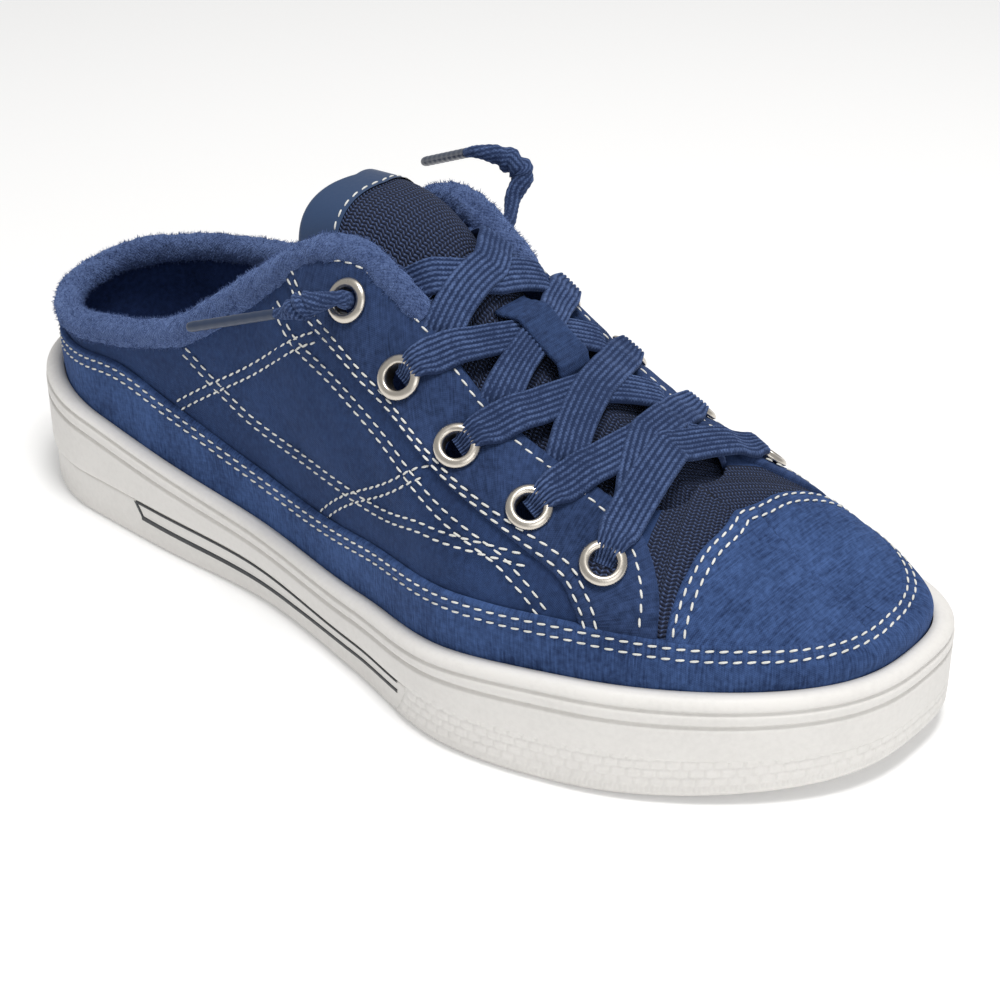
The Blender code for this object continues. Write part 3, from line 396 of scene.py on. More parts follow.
def grid_object(name, grid, material, uv=None, flip=False, holes=()):
    """A mesh piece from one grid of points; faces near the middles of holes are left out."""
    rows, columns = grid.shape[:2]
    faces = grid_faces(rows, columns)
    if flip:
        faces = faces[:, ::-1]
    points, uv = grid.reshape(-1, 3), cloth_uv(grid) if uv is None else uv
    if len(holes):
        faces = faces[distance_to(points[faces].mean(1), np.array(holes)) > HOLE_RADIUS]
        kept, faces = np.unique(faces, return_inverse=True)
        points, uv, faces = points[kept], uv[kept], faces.reshape(-1, 4)
    return mesh_object(name, points, faces, material, uv)


def joined_object(name, parts, material):
    """One mesh piece from several (points, faces, uv) parts."""
    offset, faces = 0, []
    for points, part_faces, _ in parts:
        faces.append(part_faces + offset)
        offset += len(points)
    points = np.concatenate([part[0] for part in parts])
    uv = np.concatenate([part[2] for part in parts])
    return mesh_object(name, points, np.concatenate(faces), material, uv)


# %% [markdown]
# ## Finishes
# Each finish is one Principled material. What they share is made once as a node group: a
# weave of threads, streaks of thicker yarn, and the uneven tone of used cloth and rubber.
# A group has named sockets, so one graph serves many materials with other numbers.

# %% Small helpers for node graphs


def add_node(tree, kind, **values):
    """Add a node and set its input sockets by name or number."""
    node = tree.nodes.new(kind)
    for key, value in values.items():
        socket = node.inputs[int(key[1:])] if key[0] == "_" and key[1:].isdigit() else node.inputs[key.replace("_", " ")]
        if isinstance(value, bpy.types.NodeSocket):
            tree.links.new(value, socket)
        else:
            socket.default_value = value
    return node


def maths(tree, operation, first, second=0.0):
    """One math node; returns its output."""
    node = add_node(tree, "ShaderNodeMath", _0=first, _1=second)
    node.operation = operation
    return node.outputs[0]


def new_group(name, inputs, outputs):
    """An empty node group with float or vector sockets; returns tree, inputs and outputs."""
    tree = bpy.data.node_groups.new(name, "ShaderNodeTree")
    for label, kind, value in inputs:
        socket = tree.interface.new_socket(label, in_out="INPUT", socket_type=kind)
        if value is not None:
            socket.default_value = value
    for label in outputs:
        tree.interface.new_socket(label, in_out="OUTPUT", socket_type="NodeSocketFloat")
    entry = tree.nodes.new("NodeGroupInput")
    leave = tree.nodes.new("NodeGroupOutput")
    return tree, entry.outputs, leave.inputs


FLOAT, VECTOR = "NodeSocketFloat", "NodeSocketVector"

# %% [markdown]
# The weave is two sets of waves: where one thread is on top, the other is below. The streaks
# are a noise stretched along the thread, which gives the slubs of canvas yarn. Both come from
# the UV map, so the threads follow the panel as cut cloth does.

# %% Weave and yarn groups


def weave_group():
    """Height and tone of woven cloth from distances along it: waves, plus stretched noise."""
    tree, given, out = new_group(
        "woven threads",
        [("Place", VECTOR, None), ("Pitch U", FLOAT, 0.0006), ("Pitch V", FLOAT, 0.0006),
         ("Slub", FLOAT, 0.5), ("Slub Across", FLOAT, 1400.0), ("Slub Along", FLOAT, 120.0)],
        ["Height", "Tone"],
    )
    place = add_node(tree, "ShaderNodeSeparateXYZ", Vector=given["Place"])
    waves = []
    for axis, pitch in (("X", "Pitch U"), ("Y", "Pitch V")):
        turns = maths(tree, "DIVIDE", place.outputs[axis], given[pitch])
        waves.append(maths(tree, "SINE", maths(tree, "MULTIPLY", turns, 2 * math.pi)))
    checks = maths(tree, "MULTIPLY", waves[0], waves[1])
    checks = maths(tree, "MULTIPLY_ADD", checks, 0.5)
    checks.node.inputs[2].default_value = 0.5
    scaled = add_node(tree, "ShaderNodeCombineXYZ",
                      X=maths(tree, "MULTIPLY", place.outputs["X"], given["Slub Across"]),
                      Y=maths(tree, "MULTIPLY", place.outputs["Y"], given["Slub Along"]))
    noise = add_node(tree, "ShaderNodeTexNoise", Vector=scaled.outputs[0], Scale=1.0, Detail=3.0, Roughness=0.6)
    mix = add_node(tree, "ShaderNodeMix", Factor=given["Slub"])
    tree.links.new(checks, mix.inputs[2])
    tree.links.new(noise.outputs[0], mix.inputs[3])
    tree.links.new(mix.outputs[0], out["Height"])
    tree.links.new(noise.outputs[0], out["Tone"])
    return tree


def uneven_group():
    """Slow changes of tone over a piece, as dye and handling leave them: two noises."""
    tree, given, out = new_group(
        "uneven tone", [("Place", VECTOR, None), ("Size", FLOAT, 60.0)], ["Tone"])
    broad = add_node(tree, "ShaderNodeTexNoise", Vector=given["Place"], Scale=given["Size"], Detail=4.0)
    fine = add_node(tree, "ShaderNodeTexNoise", Vector=given["Place"], Scale=700.0, Detail=2.0)
    both = maths(tree, "MULTIPLY", maths(tree, "ADD", broad.outputs[0], fine.outputs[0]), 0.5)
    tree.links.new(both, out["Tone"])
    return tree


WEAVE, UNEVEN = weave_group(), uneven_group()

# %% [markdown]
# One function makes every cloth. Base colour runs between a dark and a light thread colour,
# bump raises the threads, and a little sheen catches the light as fibres do.

# %% Cloth materials
LACE_WIDTH, LACE_RIBS = 9.8 * MM, 7


def principled(name, colour, roughness):
    """A new material; returns it with its tree and its Principled node."""
    material = bpy.data.materials.new(name)
    material.use_nodes = True
    tree = material.node_tree
    shader = tree.nodes["Principled BSDF"]
    shader.inputs["Base Color"].default_value = (*colour, 1)
    shader.inputs["Roughness"].default_value = roughness
    material.diffuse_color = (*colour, 1)
    return material, tree, shader


def cloth(name, dark, light, pitch_u, pitch_v, slub, across, along, depth, roughness=0.9, sheen=0.25, rib=0.0):
    """Woven cloth: thread heights drive bump, yarn and slow noise drive colour; rib is a braid's rib pitch, and the
    grooves between its ribs get painted shade.
    """
    material, tree, shader = principled(name, light, roughness)
    uv = add_node(tree, "ShaderNodeUVMap")
    place = add_node(tree, "ShaderNodeTexCoord").outputs["Object"]
    threads = tree.nodes.new("ShaderNodeGroup")
    threads.node_tree = WEAVE
    for label, value in (("Pitch U", pitch_u), ("Pitch V", pitch_v), ("Slub", slub),
                         ("Slub Across", across), ("Slub Along", along)):
        threads.inputs[label].default_value = value
    tree.links.new(uv.outputs[0], threads.inputs["Place"])
    tones = tree.nodes.new("ShaderNodeGroup")
    tones.node_tree = UNEVEN
    tree.links.new(place, tones.inputs["Place"])
    share = maths(tree, "ADD", maths(tree, "MULTIPLY", threads.outputs["Height"], 0.5),
                  maths(tree, "MULTIPLY", threads.outputs["Tone"], 0.5))
    share = maths(tree, "ADD", share, maths(tree, "MULTIPLY", maths(tree, "SUBTRACT", tones.outputs["Tone"], 0.5), 1.2))
    if rib:
        # Painted shade: the colour darkens in the grooves between the braid's ribs.
        turns = maths(tree, "MULTIPLY", add_node(tree, "ShaderNodeSeparateXYZ", Vector=uv.outputs[0]).outputs["Y"], math.pi / rib)
        crest = maths(tree, "POWER", maths(tree, "ABSOLUTE", maths(tree, "COSINE", turns)), 0.6)
        share = maths(tree, "SUBTRACT", share, maths(tree, "MULTIPLY", maths(tree, "SUBTRACT", 1.0, crest), 0.75))
    ramp = add_node(tree, "ShaderNodeMapRange", Value=share, From_Min=0.25, From_Max=0.8)
    mix = tree.nodes.new("ShaderNodeMix")
    mix.data_type = "RGBA"
    tree.links.new(ramp.outputs[0], mix.inputs[0])
    mix.inputs[6].default_value = (*dark, 1)
    mix.inputs[7].default_value = (*light, 1)
    tree.links.new(mix.outputs[2], shader.inputs["Base Color"])
    bump = add_node(tree, "ShaderNodeBump", Strength=1.0, Distance=depth, Height=threads.outputs["Height"])
    tree.links.new(bump.outputs[0], shader.inputs["Normal"])
    shader.inputs["Sheen Weight"].default_value = sheen
    shader.inputs["Sheen Roughness"].default_value = 0.5
    shader.inputs["Sheen Tint"].default_value = (*[min(3 * c, 1.0) for c in light], 1)
    shader.inputs["Specular IOR Level"].default_value = 0.25
    return material


# The facing's canvas is a darker copy of CANVAS: painted shade. CANVAS itself is made lighter for toe and band: painted
# light.
CANVAS = cloth("canvas_slub", (0.010, 0.025, 0.082), (0.056, 0.112, 0.285), 0.9 * MM, 0.5 * MM, 0.72, 2100, 130, 0.22 * MM)
FACING_SHADED_CANVAS = cloth("canvas_facing_painted_shade", (0.007, 0.018, 0.056), (0.036, 0.068, 0.176), 0.9 * MM, 0.5 * MM, 0.72, 2100, 130, 0.22 * MM)
QUARTER = cloth("canvas_fine", (0.013, 0.029, 0.086), (0.027, 0.058, 0.160), 0.55 * MM, 0.55 * MM, 0.45, 900, 420, 0.14 * MM)
LINING = cloth("lining_cloth", (0.008, 0.020, 0.070), (0.024, 0.052, 0.165), 0.8 * MM, 0.8 * MM, 0.7, 700, 700, 0.3 * MM)
FLEECE = cloth("fleece_nap", (0.028, 0.050, 0.135), (0.112, 0.168, 0.345), 1.1 * MM, 1.1 * MM, 0.8, 1500, 1500, 0.9 * MM, sheen=0.6)
# The lace's darker rib grooves are painted shade.
LACE = cloth("lace_braid", (0.014, 0.028, 0.080), (0.094, 0.148, 0.310), 0.9 * MM, 0.9 * MM, 0.5, 1600, 900, 0.10 * MM,
             rib=LACE_WIDTH / LACE_RIBS)
WEBBING = cloth("keeper_webbing", (0.008, 0.018, 0.056), (0.032, 0.064, 0.165), 1.0 * MM, 0.6 * MM, 0.6, 2400, 160, 0.22 * MM)
THREAD = cloth("stitch_thread", (0.62, 0.62, 0.58), (0.90, 0.90, 0.86), 0.4 * MM, 0.4 * MM, 0.3, 900, 900, 0.05 * MM, sheen=0.1)
print("cloths:", [m.name for m in (CANVAS, QUARTER, LINING, FLEECE, LACE, THREAD)])

# %% [markdown]
# The tongue is a knit mesh with rows of thick loops on a dark ground. The tops of the loops are made light as a painted
# highlight, and the loops stand in slanted pairs. That is a wave whose phase moves with the row, cut off sharply so
# that only the tops are light.

# %% Knit, rubber, metal and smooth finishes


def knit_material():
    """Knit mesh: slanted loops as a wave along u whose phase steps with each row along v; their crests get a painted
    highlight.
    """
    material, tree, shader = principled("knit_mesh", (0.020, 0.038, 0.120), 0.85)
    uv = add_node(tree, "ShaderNodeUVMap")
    place = add_node(tree, "ShaderNodeSeparateXYZ", Vector=uv.outputs[0])
    row = maths(tree, "DIVIDE", place.outputs["X"], 1.15 * MM)
    odd = maths(tree, "PINGPONG", row, 1.0)
    across = maths(tree, "DIVIDE", place.outputs["Y"], 1.0 * MM)
    slanted = maths(tree, "ADD", across, maths(tree, "MULTIPLY", odd, 0.55))
    loops = maths(tree, "SINE", maths(tree, "MULTIPLY", slanted, 2 * math.pi))
    rows = maths(tree, "SINE", maths(tree, "MULTIPLY", row, 2 * math.pi))
    height = maths(tree, "ADD", loops, maths(tree, "MULTIPLY", rows, 0.7))
    speckle = add_node(tree, "ShaderNodeTexNoise", Vector=uv.outputs[0], Scale=900.0, Detail=2.0)
    # Painted highlight: the crests of the loops turn light; the speckle is the yarn's own uneven tone.
    crest_highlight_and_speckle = maths(tree, "ADD", height, maths(tree, "MULTIPLY", speckle.outputs[0], 1.6))
    light = add_node(tree, "ShaderNodeMapRange", Value=crest_highlight_and_speckle, From_Min=0.5, From_Max=2.4)
    mix = tree.nodes.new("ShaderNodeMix")
    mix.data_type = "RGBA"
    tree.links.new(light.outputs[0], mix.inputs[0])
    mix.inputs[6].default_value = (0.006, 0.013, 0.046, 1)
    mix.inputs[7].default_value = (0.090, 0.145, 0.330, 1)
    tree.links.new(mix.outputs[2], shader.inputs["Base Color"])
    bump = add_node(tree, "ShaderNodeBump", Strength=1.0, Distance=0.5 * MM, Height=height)
    tree.links.new(bump.outputs[0], shader.inputs["Normal"])
    return material


def rubber_material(name, ribs=0.0):
    """Off-white moulded rubber: fine grain, its own faint grey in slow patches, and painted shade that greys it low on
    the wall.
    """
    material, tree, shader = principled(name, (0.80, 0.775, 0.735), 0.52)
    place = add_node(tree, "ShaderNodeTexCoord").outputs["Object"]
    tones = tree.nodes.new("ShaderNodeGroup")
    tones.node_tree = UNEVEN
    tree.links.new(place, tones.inputs["Place"])
    height = add_node(tree, "ShaderNodeSeparateXYZ", Vector=place).outputs["Z"]
    # Greyer towards the ground is painted shade; the slow grey patches are the rubber's own uneven tone.
    low = add_node(tree, "ShaderNodeMapRange", Value=height, From_Min=9 * MM, From_Max=0.5 * MM)
    patches_and_ground_shade = maths(tree, "MULTIPLY", low.outputs[0], 0.35)
    patches_and_ground_shade = maths(tree, "ADD", patches_and_ground_shade, maths(tree, "MULTIPLY", maths(tree, "SUBTRACT", tones.outputs["Tone"], 0.45), 0.9))
    patches_and_ground_shade.node.use_clamp = True
    mix = tree.nodes.new("ShaderNodeMix")
    mix.data_type = "RGBA"
    tree.links.new(patches_and_ground_shade, mix.inputs[0])
    mix.inputs[6].default_value = (0.80, 0.78, 0.75, 1)
    mix.inputs[7].default_value = (0.58, 0.56, 0.535, 1)
    tree.links.new(mix.outputs[2], shader.inputs["Base Color"])
    grain = add_node(tree, "ShaderNodeTexNoise", Vector=place, Scale=1600.0, Detail=3.0)
    bump = add_node(tree, "ShaderNodeBump", Strength=0.35, Distance=0.06 * MM, Height=grain.outputs[0])
    tree.links.new(bump.outputs[0], shader.inputs["Normal"])
    shader.inputs["Specular IOR Level"].default_value = 0.4
    shader.inputs["Subsurface Weight"].default_value = 0.0
    return material


def smooth_material(name, colour, roughness, metallic=0.0, coat=0.0, grain=0.0):
    """A smooth finish with an uneven polish; grain is the depth of its fine bump."""
    material, tree, shader = principled(name, colour, roughness)
    shader.inputs["Metallic"].default_value = metallic
    shader.inputs["Coat Weight"].default_value = coat
    place = add_node(tree, "ShaderNodeTexCoord").outputs["Object"]
    noise = add_node(tree, "ShaderNodeTexNoise", Vector=place, Scale=900.0, Detail=4.0)
    polish = add_node(tree, "ShaderNodeMapRange", Value=noise.outputs[0], To_Min=roughness * 0.75, To_Max=roughness * 1.3)
    tree.links.new(polish.outputs[0], shader.inputs["Roughness"])
    if grain:
        bump = add_node(tree, "ShaderNodeBump", Strength=0.6, Distance=grain, Height=noise.outputs[0])
        tree.links.new(bump.outputs[0], shader.inputs["Normal"])
    return material


KNIT = knit_material()
RUBBER = rubber_material("moulded_rubber")
METAL = smooth_material("eyelet_nickel", (0.66, 0.61, 0.54), 0.30, metallic=1.0)
BINDING = smooth_material("tongue_binding_film", (0.020, 0.050, 0.125), 0.50, coat=0.1, grain=0.08 * MM)
AGLET = smooth_material("aglet_wrap", (0.022, 0.038, 0.080), 0.36, coat=0.2, grain=0.05 * MM)
STRIPE = smooth_material("pinstripe_rubber", (0.030, 0.032, 0.038), 0.5)
print("other finishes:", [m.name for m in (KNIT, RUBBER, METAL, BINDING, AGLET, STRIPE)])

# %% [markdown]
# ## The lace ends
# Each free end leaves the top eyelet, makes a small knot and ends in a wrapped tip. A tube is swept along a path:
# circles stand square to it, and their radius may change on the way. The knot is the same tube, swollen, with grooves
# that wind round it in a tight helix.

# %% Tubes
EYELETS = ((0.505, 0.547), (0.555, 0.547), (0.605, 0.587), (0.661, 0.593), (0.718, 0.549))
BASE_OUT, BASE_IN = -1.28 * MM, -3.08 * MM


def unit(vectors):
    """Vectors of length 1."""
    return vectors / np.maximum(np.linalg.norm(vectors, axis=-1, keepdims=True), 1e-12)


def tube(path, radius, sides, flatten=1.0, up=(0, 0, 1)):
    """Grid of circles square to a path; flatten makes them ovals, lower along up."""
    way = unit(np.gradient(path, axis=0))
    across = unit(np.cross(way, np.broadcast_to(up, way.shape)))
    upright = np.cross(across, way)
    turn = np.linspace(0, 2 * np.pi, sides + 1)
    radius = np.broadcast_to(radius, len(path))[:, None, None]
    ring = across[:, None] * np.cos(turn)[None, :, None]
    ring = ring + upright[:, None] * (np.sin(turn) * flatten)[None, :, None]
    return path[:, None] + ring * radius


def smooth_path(points, count):
    """Points along a smooth curve through a short list of points."""
    points = np.array(points, float)
    where = lengths(points, 0)
    table = np.concatenate([where[:, None], points], 1)
    at = np.linspace(0, where[-1], count)
    return np.stack([curve(table, k + 1, at) for k in range(points.shape[1])], 1)


# %% The two free ends
LACE_ENDS = {
    "lateral": ((0, 0, 0), (-3.0, 1.0, -1.2), (-6.5, 3.0, -2.4), (-9.8, 4.4, -4.0), (-12.6, 4.8, -5.8)),
    "medial": ((0, 0, 0), (-2.7, 5.3, 4.2), (-3.0, 9.2, 9.7), (-7.2, 7.9, 12.8), (-14.3, 2.9, 14.3)),
}
AGLETS = {"lateral": (-0.914, 0.232, -0.331), "medial": (-0.858, 0.323, -0.402)}
END_RADII = np.array([1.20, 1.15, 0.90, 1.05, 1.25, 1.45, 1.55, 1.50, 1.30, 1.00, 0.75, 0.65]) * 2.2 * MM


def lace_end(name, side):
    """Braided end with its knot, which runs on inside its wrapped tip: together one cord."""
    outward = 2 * side - 1
    point = profile(side, *EYELETS[0])
    start = point + normals(side, *EYELETS[0]) * 4.0 * MM
    tip = unit(np.array(AGLETS[name]) * (1, outward, 1))
    way = [point] + [start + np.array([x, outward * y, z]) * MM for x, y, z in LACE_ENDS[name]]
    way += [way[-1] + tip * 1.5 * MM, way[-1] + tip * 3.5 * MM]
    knotted = smooth_path(way, 160)
    inside = knotted[-1] + tip * np.linspace(0.4, 25.5, 60)[:, None] * MM
    path = np.concatenate([knotted, inside])
    share = np.concatenate([np.linspace(0, 1, 160), np.linspace(1.01, 2.2, 60)])
    radius = np.interp(share, np.append(np.linspace(0, 1, 12), 1.03), np.append(END_RADII, 1.15 * MM))
    knot = np.exp(-((share - 0.60) / 0.13) ** 2)
    turns = np.linspace(0, 1, 33)
    strands = np.abs(np.sin(4.0 * 2 * np.pi * share[:, None] + 2 * np.pi * turns[None, :]))
    grooves = 1 + 0.12 * knot[:, None] - 0.42 * knot[:, None] * (1 - strands)
    braid = 1 + 0.03 * np.sin(150 * 2 * np.pi * share[:, None] / 6 + 2 * np.pi * turns[None, :] * 4)
    strand = tube(path, 1.0, 32)
    flat = 1 - 0.10 * (1 - knot)
    grid = path[:, None] + (strand - path[:, None]) * (radius * 0.93 * flat)[:, None, None] * (grooves * braid)[..., None]
    cord = grid_object(f"lace_free_end_{name}", grid, LACE)
    first = knotted[-1] - tip * 1.2 * MM
    along = np.linspace(0, 1, 90)
    wrap = 1.3 * MM * (1 - 0.10 * smooth_step(0.04, 0.0, along) - 0.14 * smooth_step(0.97, 1.0, along))
    wrap = wrap * (1 + 0.02 * np.sin(along * 2 * np.pi * 9))
    line = first + tip * (along[:, None] * 27.2 * MM)
    closed = np.concatenate([line[:1], line, line[-1:]])
    wrap = np.concatenate([[1e-6], wrap, [1e-6]])
    aglet = grid_object(f"lace_tip_{name}", tube(closed + tip * np.linspace(0, 1e-6, 92)[:, None], wrap, 24), AGLET)
    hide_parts(f"lace_end_{name}")
    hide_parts(f"aglet_{name}")
    reach = float(lengths(path, 0)[-1])
    print(name, "end: length", round(reach / MM, 1), "mm")
    return cord


ENDS = [lace_end(name, side) for name, side in BOTH]

# %% [markdown]
# ## The sole
# The side of the sole is one grid that runs round the shoe. Its rows go up a profile of small
# steps: the edge at the ground, the split, two grooves and a rounded lip. A row is an inset
# from the outline and a height measured from one of four named levels, so the grooves follow
# the sole as it rises from waist to heel.

# %% Sole wall
STATIONS = np.concatenate([np.linspace(0, 1, 301), 2 - np.linspace(0, 1, 301)[-2::-1]])
SOLE_ROWS = (
    ("ground", 2.2, 0.0), ("ground", 1.4, 0.25), ("ground", 0.95, 0.8), ("ground", 0.7, 1.8), ("ground", 0.7, 2.6),
    ("split", 0.7, -1.6), ("split", 0.72, -1.0), ("split", 0.85, -0.55), ("split", 1.2, -0.3), ("split", 1.5, -0.1),
    ("split", 1.2, 0.05), ("split", 0.5, 0.2), ("split", 0.15, 0.5), ("split", 0.0, 1.0), ("split", 0.0, 1.6),
    ("lower", 0.0, -2.0), ("lower", 0.0, -1.3), ("lower", 0.1, -1.0), ("lower", 0.4, -0.75), ("lower", 0.9, -0.5),
    ("lower", 1.0, -0.2), ("lower", 0.9, 0.0), ("lower", 0.4, 0.25), ("lower", 0.1, 0.5), ("lower", 0.0, 0.8),
    ("upper", 0.0, -1.3), ("upper", 0.1, -0.95), ("upper", 0.4, -0.6), ("upper", 0.9, -0.35), ("upper", 1.0, -0.1),
    ("upper", 0.9, 0.1), ("upper", 0.5, 0.3), ("upper", 0.2, 0.6),
)


def ground(side, x):
    """Underside at its edge: flat at heel and ball, with a bevel, an arch and a toe spring."""
    share = x / LENGTH
    spring = 4.6 * MM * np.clip((share - 0.74) / 0.26, 0, 1) ** 2
    bevel = 2.2 * MM * np.clip((0.07 - share) / 0.07, 0, 1) ** 2
    arch = 1.8 * MM * smooth_step(0.30, 0.42, share) * (1 - smooth_step(0.48, 0.60, share))
    return spring + bevel + arch * (0.35 if side == LATERAL else 1.0)


def levels(side, x):
    """The four heights from which the rows of the wall are measured, and the top."""
    top = sole_height(1, x)
    return {
        "ground": ground(side, x),
        "split": sole_height(2, x),
        "lower": top - sole_height(4, x),
        "upper": top - sole_height(3, x),
        "top": top,
    }


def sole_line(side, s, inset, level, rise):
    """Points round the sole at an inset, a rise above a named level."""
    x, y = plan(side, s, inset)
    base = levels(side, x)[level]
    return np.stack([x, y, base + rise], -1)


def ring(line, *values):
    """A sole line round both sides, from heel to heel."""
    outer = line(LATERAL, np.clip(STATIONS, 0, 1), *values)
    inner = line(MEDIAL, np.clip(2 - STATIONS, 0, 1), *values)
    return np.where((STATIONS <= 1)[:, None], outer, inner)


def lip_line(side, s, turn):
    """The lip: a quarter of an ellipse from the upper groove to the flat top."""
    inset = (0.2 + 2.6 * (1 - math.cos(turn))) * MM
    x, y = plan(side, s, inset)
    heights = levels(side, x)
    low = heights["upper"] + 0.6 * MM
    return np.stack([x, y, low + (heights["top"] - low) * math.sin(turn)], -1)


rows = [ring(sole_line, inset * MM, level, rise * MM) for level, inset, rise in SOLE_ROWS]
rows += [ring(lip_line, turn) for turn in np.linspace(0.15, math.pi / 2, 9)]
rows += [ring(sole_line, 4.4 * MM, "top", 0.0), ring(sole_line, 4.45 * MM, "top", -0.3 * MM),
         ring(sole_line, 4.45 * MM, "top", -2.5 * MM)]
wall = grid_object("sole_wall", np.stack(rows, 1), RUBBER)
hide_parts("midsole")
print("sole wall:", len(rows), "rows of", len(STATIONS), "points")

# %% [markdown]
# The underside is a sheet between the two edges. Its tread is a height added to the sheet:
# slanted bars under heel and ball, cut off a little inside the rim.

# %% Underside with its tread
s_line = np.linspace(0, 1, 341)
share_line = np.linspace(0, 1, 71)
left, right = (sole_line(side, s_line, 2.2 * MM, "ground", 0.0) for side in (LATERAL, MEDIAL))
under = left[:, None] * (1 - share_line)[None, :, None] + right[:, None] * share_line[None, :, None]
width = np.linalg.norm(right - left, axis=1)[:, None]
from_rim = np.minimum(share_line, 1 - share_line)[None, :] * width
for start, end in ((0.09, 0.30), (0.60, 0.90)):
    place = (under[..., 0] - start * LENGTH) / (13 * MM) - 0.5 * share_line[None, :]
    bar = smooth_step(0.02, 0.06, (place - 0.5) % 1) * (1 - smooth_step(0.30, 0.34, (place - 0.5) % 1))
    inside = smooth_step(0.5, 1.0, place) * (1 - smooth_step((end - start) * LENGTH / (13 * MM) - 0.1, (end - start) * LENGTH / (13 * MM), place))
    under[..., 2] += 2.2 * MM * bar * smooth_step(6.5 * MM, 7.0 * MM, from_rim) * inside
fine = np.sin(under[..., 0] / (2.2 * MM) * 2 * np.pi + 3 * share_line[None, :])
under[..., 2] += 0.12 * MM * np.maximum(fine, 0) * smooth_step(6 * MM, 7 * MM, from_rim)
tread = grid_object("sole_tread", under, RUBBER)
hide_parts("outsole")

# %% [markdown]
# The toe bumper has a moulded pattern: a row of slanted ribs on top, small bricks below and
# fine upright lines at the ground. All three are heights over the same grid, mixed by how far
# up the bumper a point lies.

# %% Toe bumper
BUMPER_START, BUMPER_SLANT = 0.575, 0.018


def bumper_grid(columns, rows):
    """Grid round the toe: sunk at its rims, with ribs, bricks and lines in its face."""
    up = clustered(rows, 0.07)
    half = np.concatenate([[0, 0.0006, 0.0015, 0.003], np.linspace(0.005, 1, columns)])
    sides = []
    for side in (LATERAL, MEDIAL):
        start = BUMPER_START + BUMPER_SLANT * (up**0.6)
        s = start[None, :] + (1 - start[None, :]) * half[:, None]
        v = np.broadcast_to(up, s.shape)
        flat_x, flat_y = plan(side, s, 0.0)
        low = ground(side, flat_x) + 1.2 * MM
        high = levels(side, flat_x)["lower"] - 1.2 * MM
        tall = high - low
        z = v * tall
        run = lengths(np.stack([flat_x, flat_y], -1), 0)
        run = run - run[-1:]
        run = run if side == LATERAL else -run
        from_top = tall - z
        ribs = 0.5 - 0.5 * np.cos(2 * np.pi * (run + 0.45 * from_top) / (1.6 * MM))
        row = np.floor(z / (2.4 * MM))
        brick_u = (run / (3.6 * MM) + 0.5 * (row % 2)) % 1
        brick_v = (z / (2.4 * MM)) % 1
        bricks = smooth_step(0.0, 0.16, brick_u) * (1 - smooth_step(0.84, 1, brick_u))
        bricks = bricks * smooth_step(0.0, 0.2, brick_v) * (1 - smooth_step(0.8, 1, brick_v))
        lines = 0.5 - 0.5 * np.cos(2 * np.pi * run / (1.2 * MM))
        upper_part = smooth_step(4.6 * MM, 4.3 * MM, from_top) * smooth_step(0.3 * MM, 0.7 * MM, from_top)
        lower_part = smooth_step(2.6 * MM, 2.3 * MM, z)
        middle = smooth_step(4.7 * MM, 5.1 * MM, from_top) * (1 - lower_part)
        relief = 0.42 * ribs * upper_part + 0.30 * bricks * middle + 0.20 * lines * lower_part
        relief = relief + 0.12 * (1 - upper_part) * smooth_step(0.0, 0.1 * MM, from_top)
        rim = np.minimum(np.minimum(z, from_top), half[:, None] * 90 * MM)
        sink = 1.25 * (1 - np.sqrt(np.clip(1 - (1 - np.clip(rim / (0.9 * MM), 0, 1)) ** 2, 0, 1)))
        x, y = plan(side, s, 0.0)
        x2, y2 = plan(side, s, 2.0 * MM)
        inward = unit(np.stack([x2 - x, y2 - y], -1))
        moved = np.stack([x, y], -1) + inward * ((sink - relief + 0.42) * MM)[..., None]
        sides.append(np.concatenate([moved, (low + z)[..., None]], -1))
    return np.concatenate([sides[0], sides[1][-2::-1]])


bumper = grid_object("sole_bumper", bumper_grid(520, 36), RUBBER)
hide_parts("toe_bumper")

# %% [markdown]
# Two dark lines decorate each side. They are thin strips on the rubber. Their upper one lies
# at the split, and the lower one sags below it.

# %% Pinstripes
STRIPE_LOW = ((60, 7.6), (80, 7.0), (100, 6.5), (125, 6.0), (150, 6.4), (172, 7.0))


def stripe(side, x_from, x_to, height, half_width):
    """A thin closed strip on the sole's side between two distances from the heel."""
    x = np.linspace(x_from, x_to, 180) * MM
    s = np.arccos(np.clip(1 - 2 * x / LENGTH, -1, 1)) / np.pi
    x, y = plan(side, s, 0.62 * MM)
    z = height(x)
    wide = half_width(x)
    grid = np.stack([np.stack([x, y + (1 - 2 * side) * -lift * MM, z + up * wide], -1)
                     for up, lift in ((-1, -0.15), (-1, 0.05), (-0.6, 0.10), (0.6, 0.10), (1, 0.05), (1, -0.15))], 1)
    return grid.reshape(-1, 3), grid_faces(*grid.shape[:2]), cloth_uv(grid)


def stripes(side):
    """Both lines and the slanted short line that joins them at the heel end."""
    low = lambda x: np.interp(x / MM, *np.array(STRIPE_LOW).T) * MM
    high = lambda x: sole_height(2, x) - 0.75 * MM
    taper = lambda x: (0.70 - 0.22 * smooth_step(60, 172, x / MM)) * MM
    parts = [stripe(side, 60.5, 171.5, high, lambda x: 0.55 * taper(x)), stripe(side, 62.5, 171.5, low, taper)]
    x = np.linspace(60.3, 63.2, 14) * MM
    s = np.arccos(1 - 2 * x / LENGTH) / np.pi
    x, y = plan(side, s, 0.62 * MM)
    z = np.linspace(1, 0, 14) * (high(x) - low(x)) + low(x)
    grid = np.stack([np.stack([x + shift * MM, y + (1 - 2 * side) * -lift * MM, z], -1)
                     for shift, lift in ((-0.6, -0.15), (-0.6, 0.05), (0.6, 0.05), (0.6, -0.15))], 1)
    parts.append((grid.reshape(-1, 3), grid_faces(*grid.shape[:2]), cloth_uv(grid)))
    return parts


pinstripes = joined_object("sole_pinstripes", stripes(LATERAL) + stripes(MEDIAL), STRIPE)
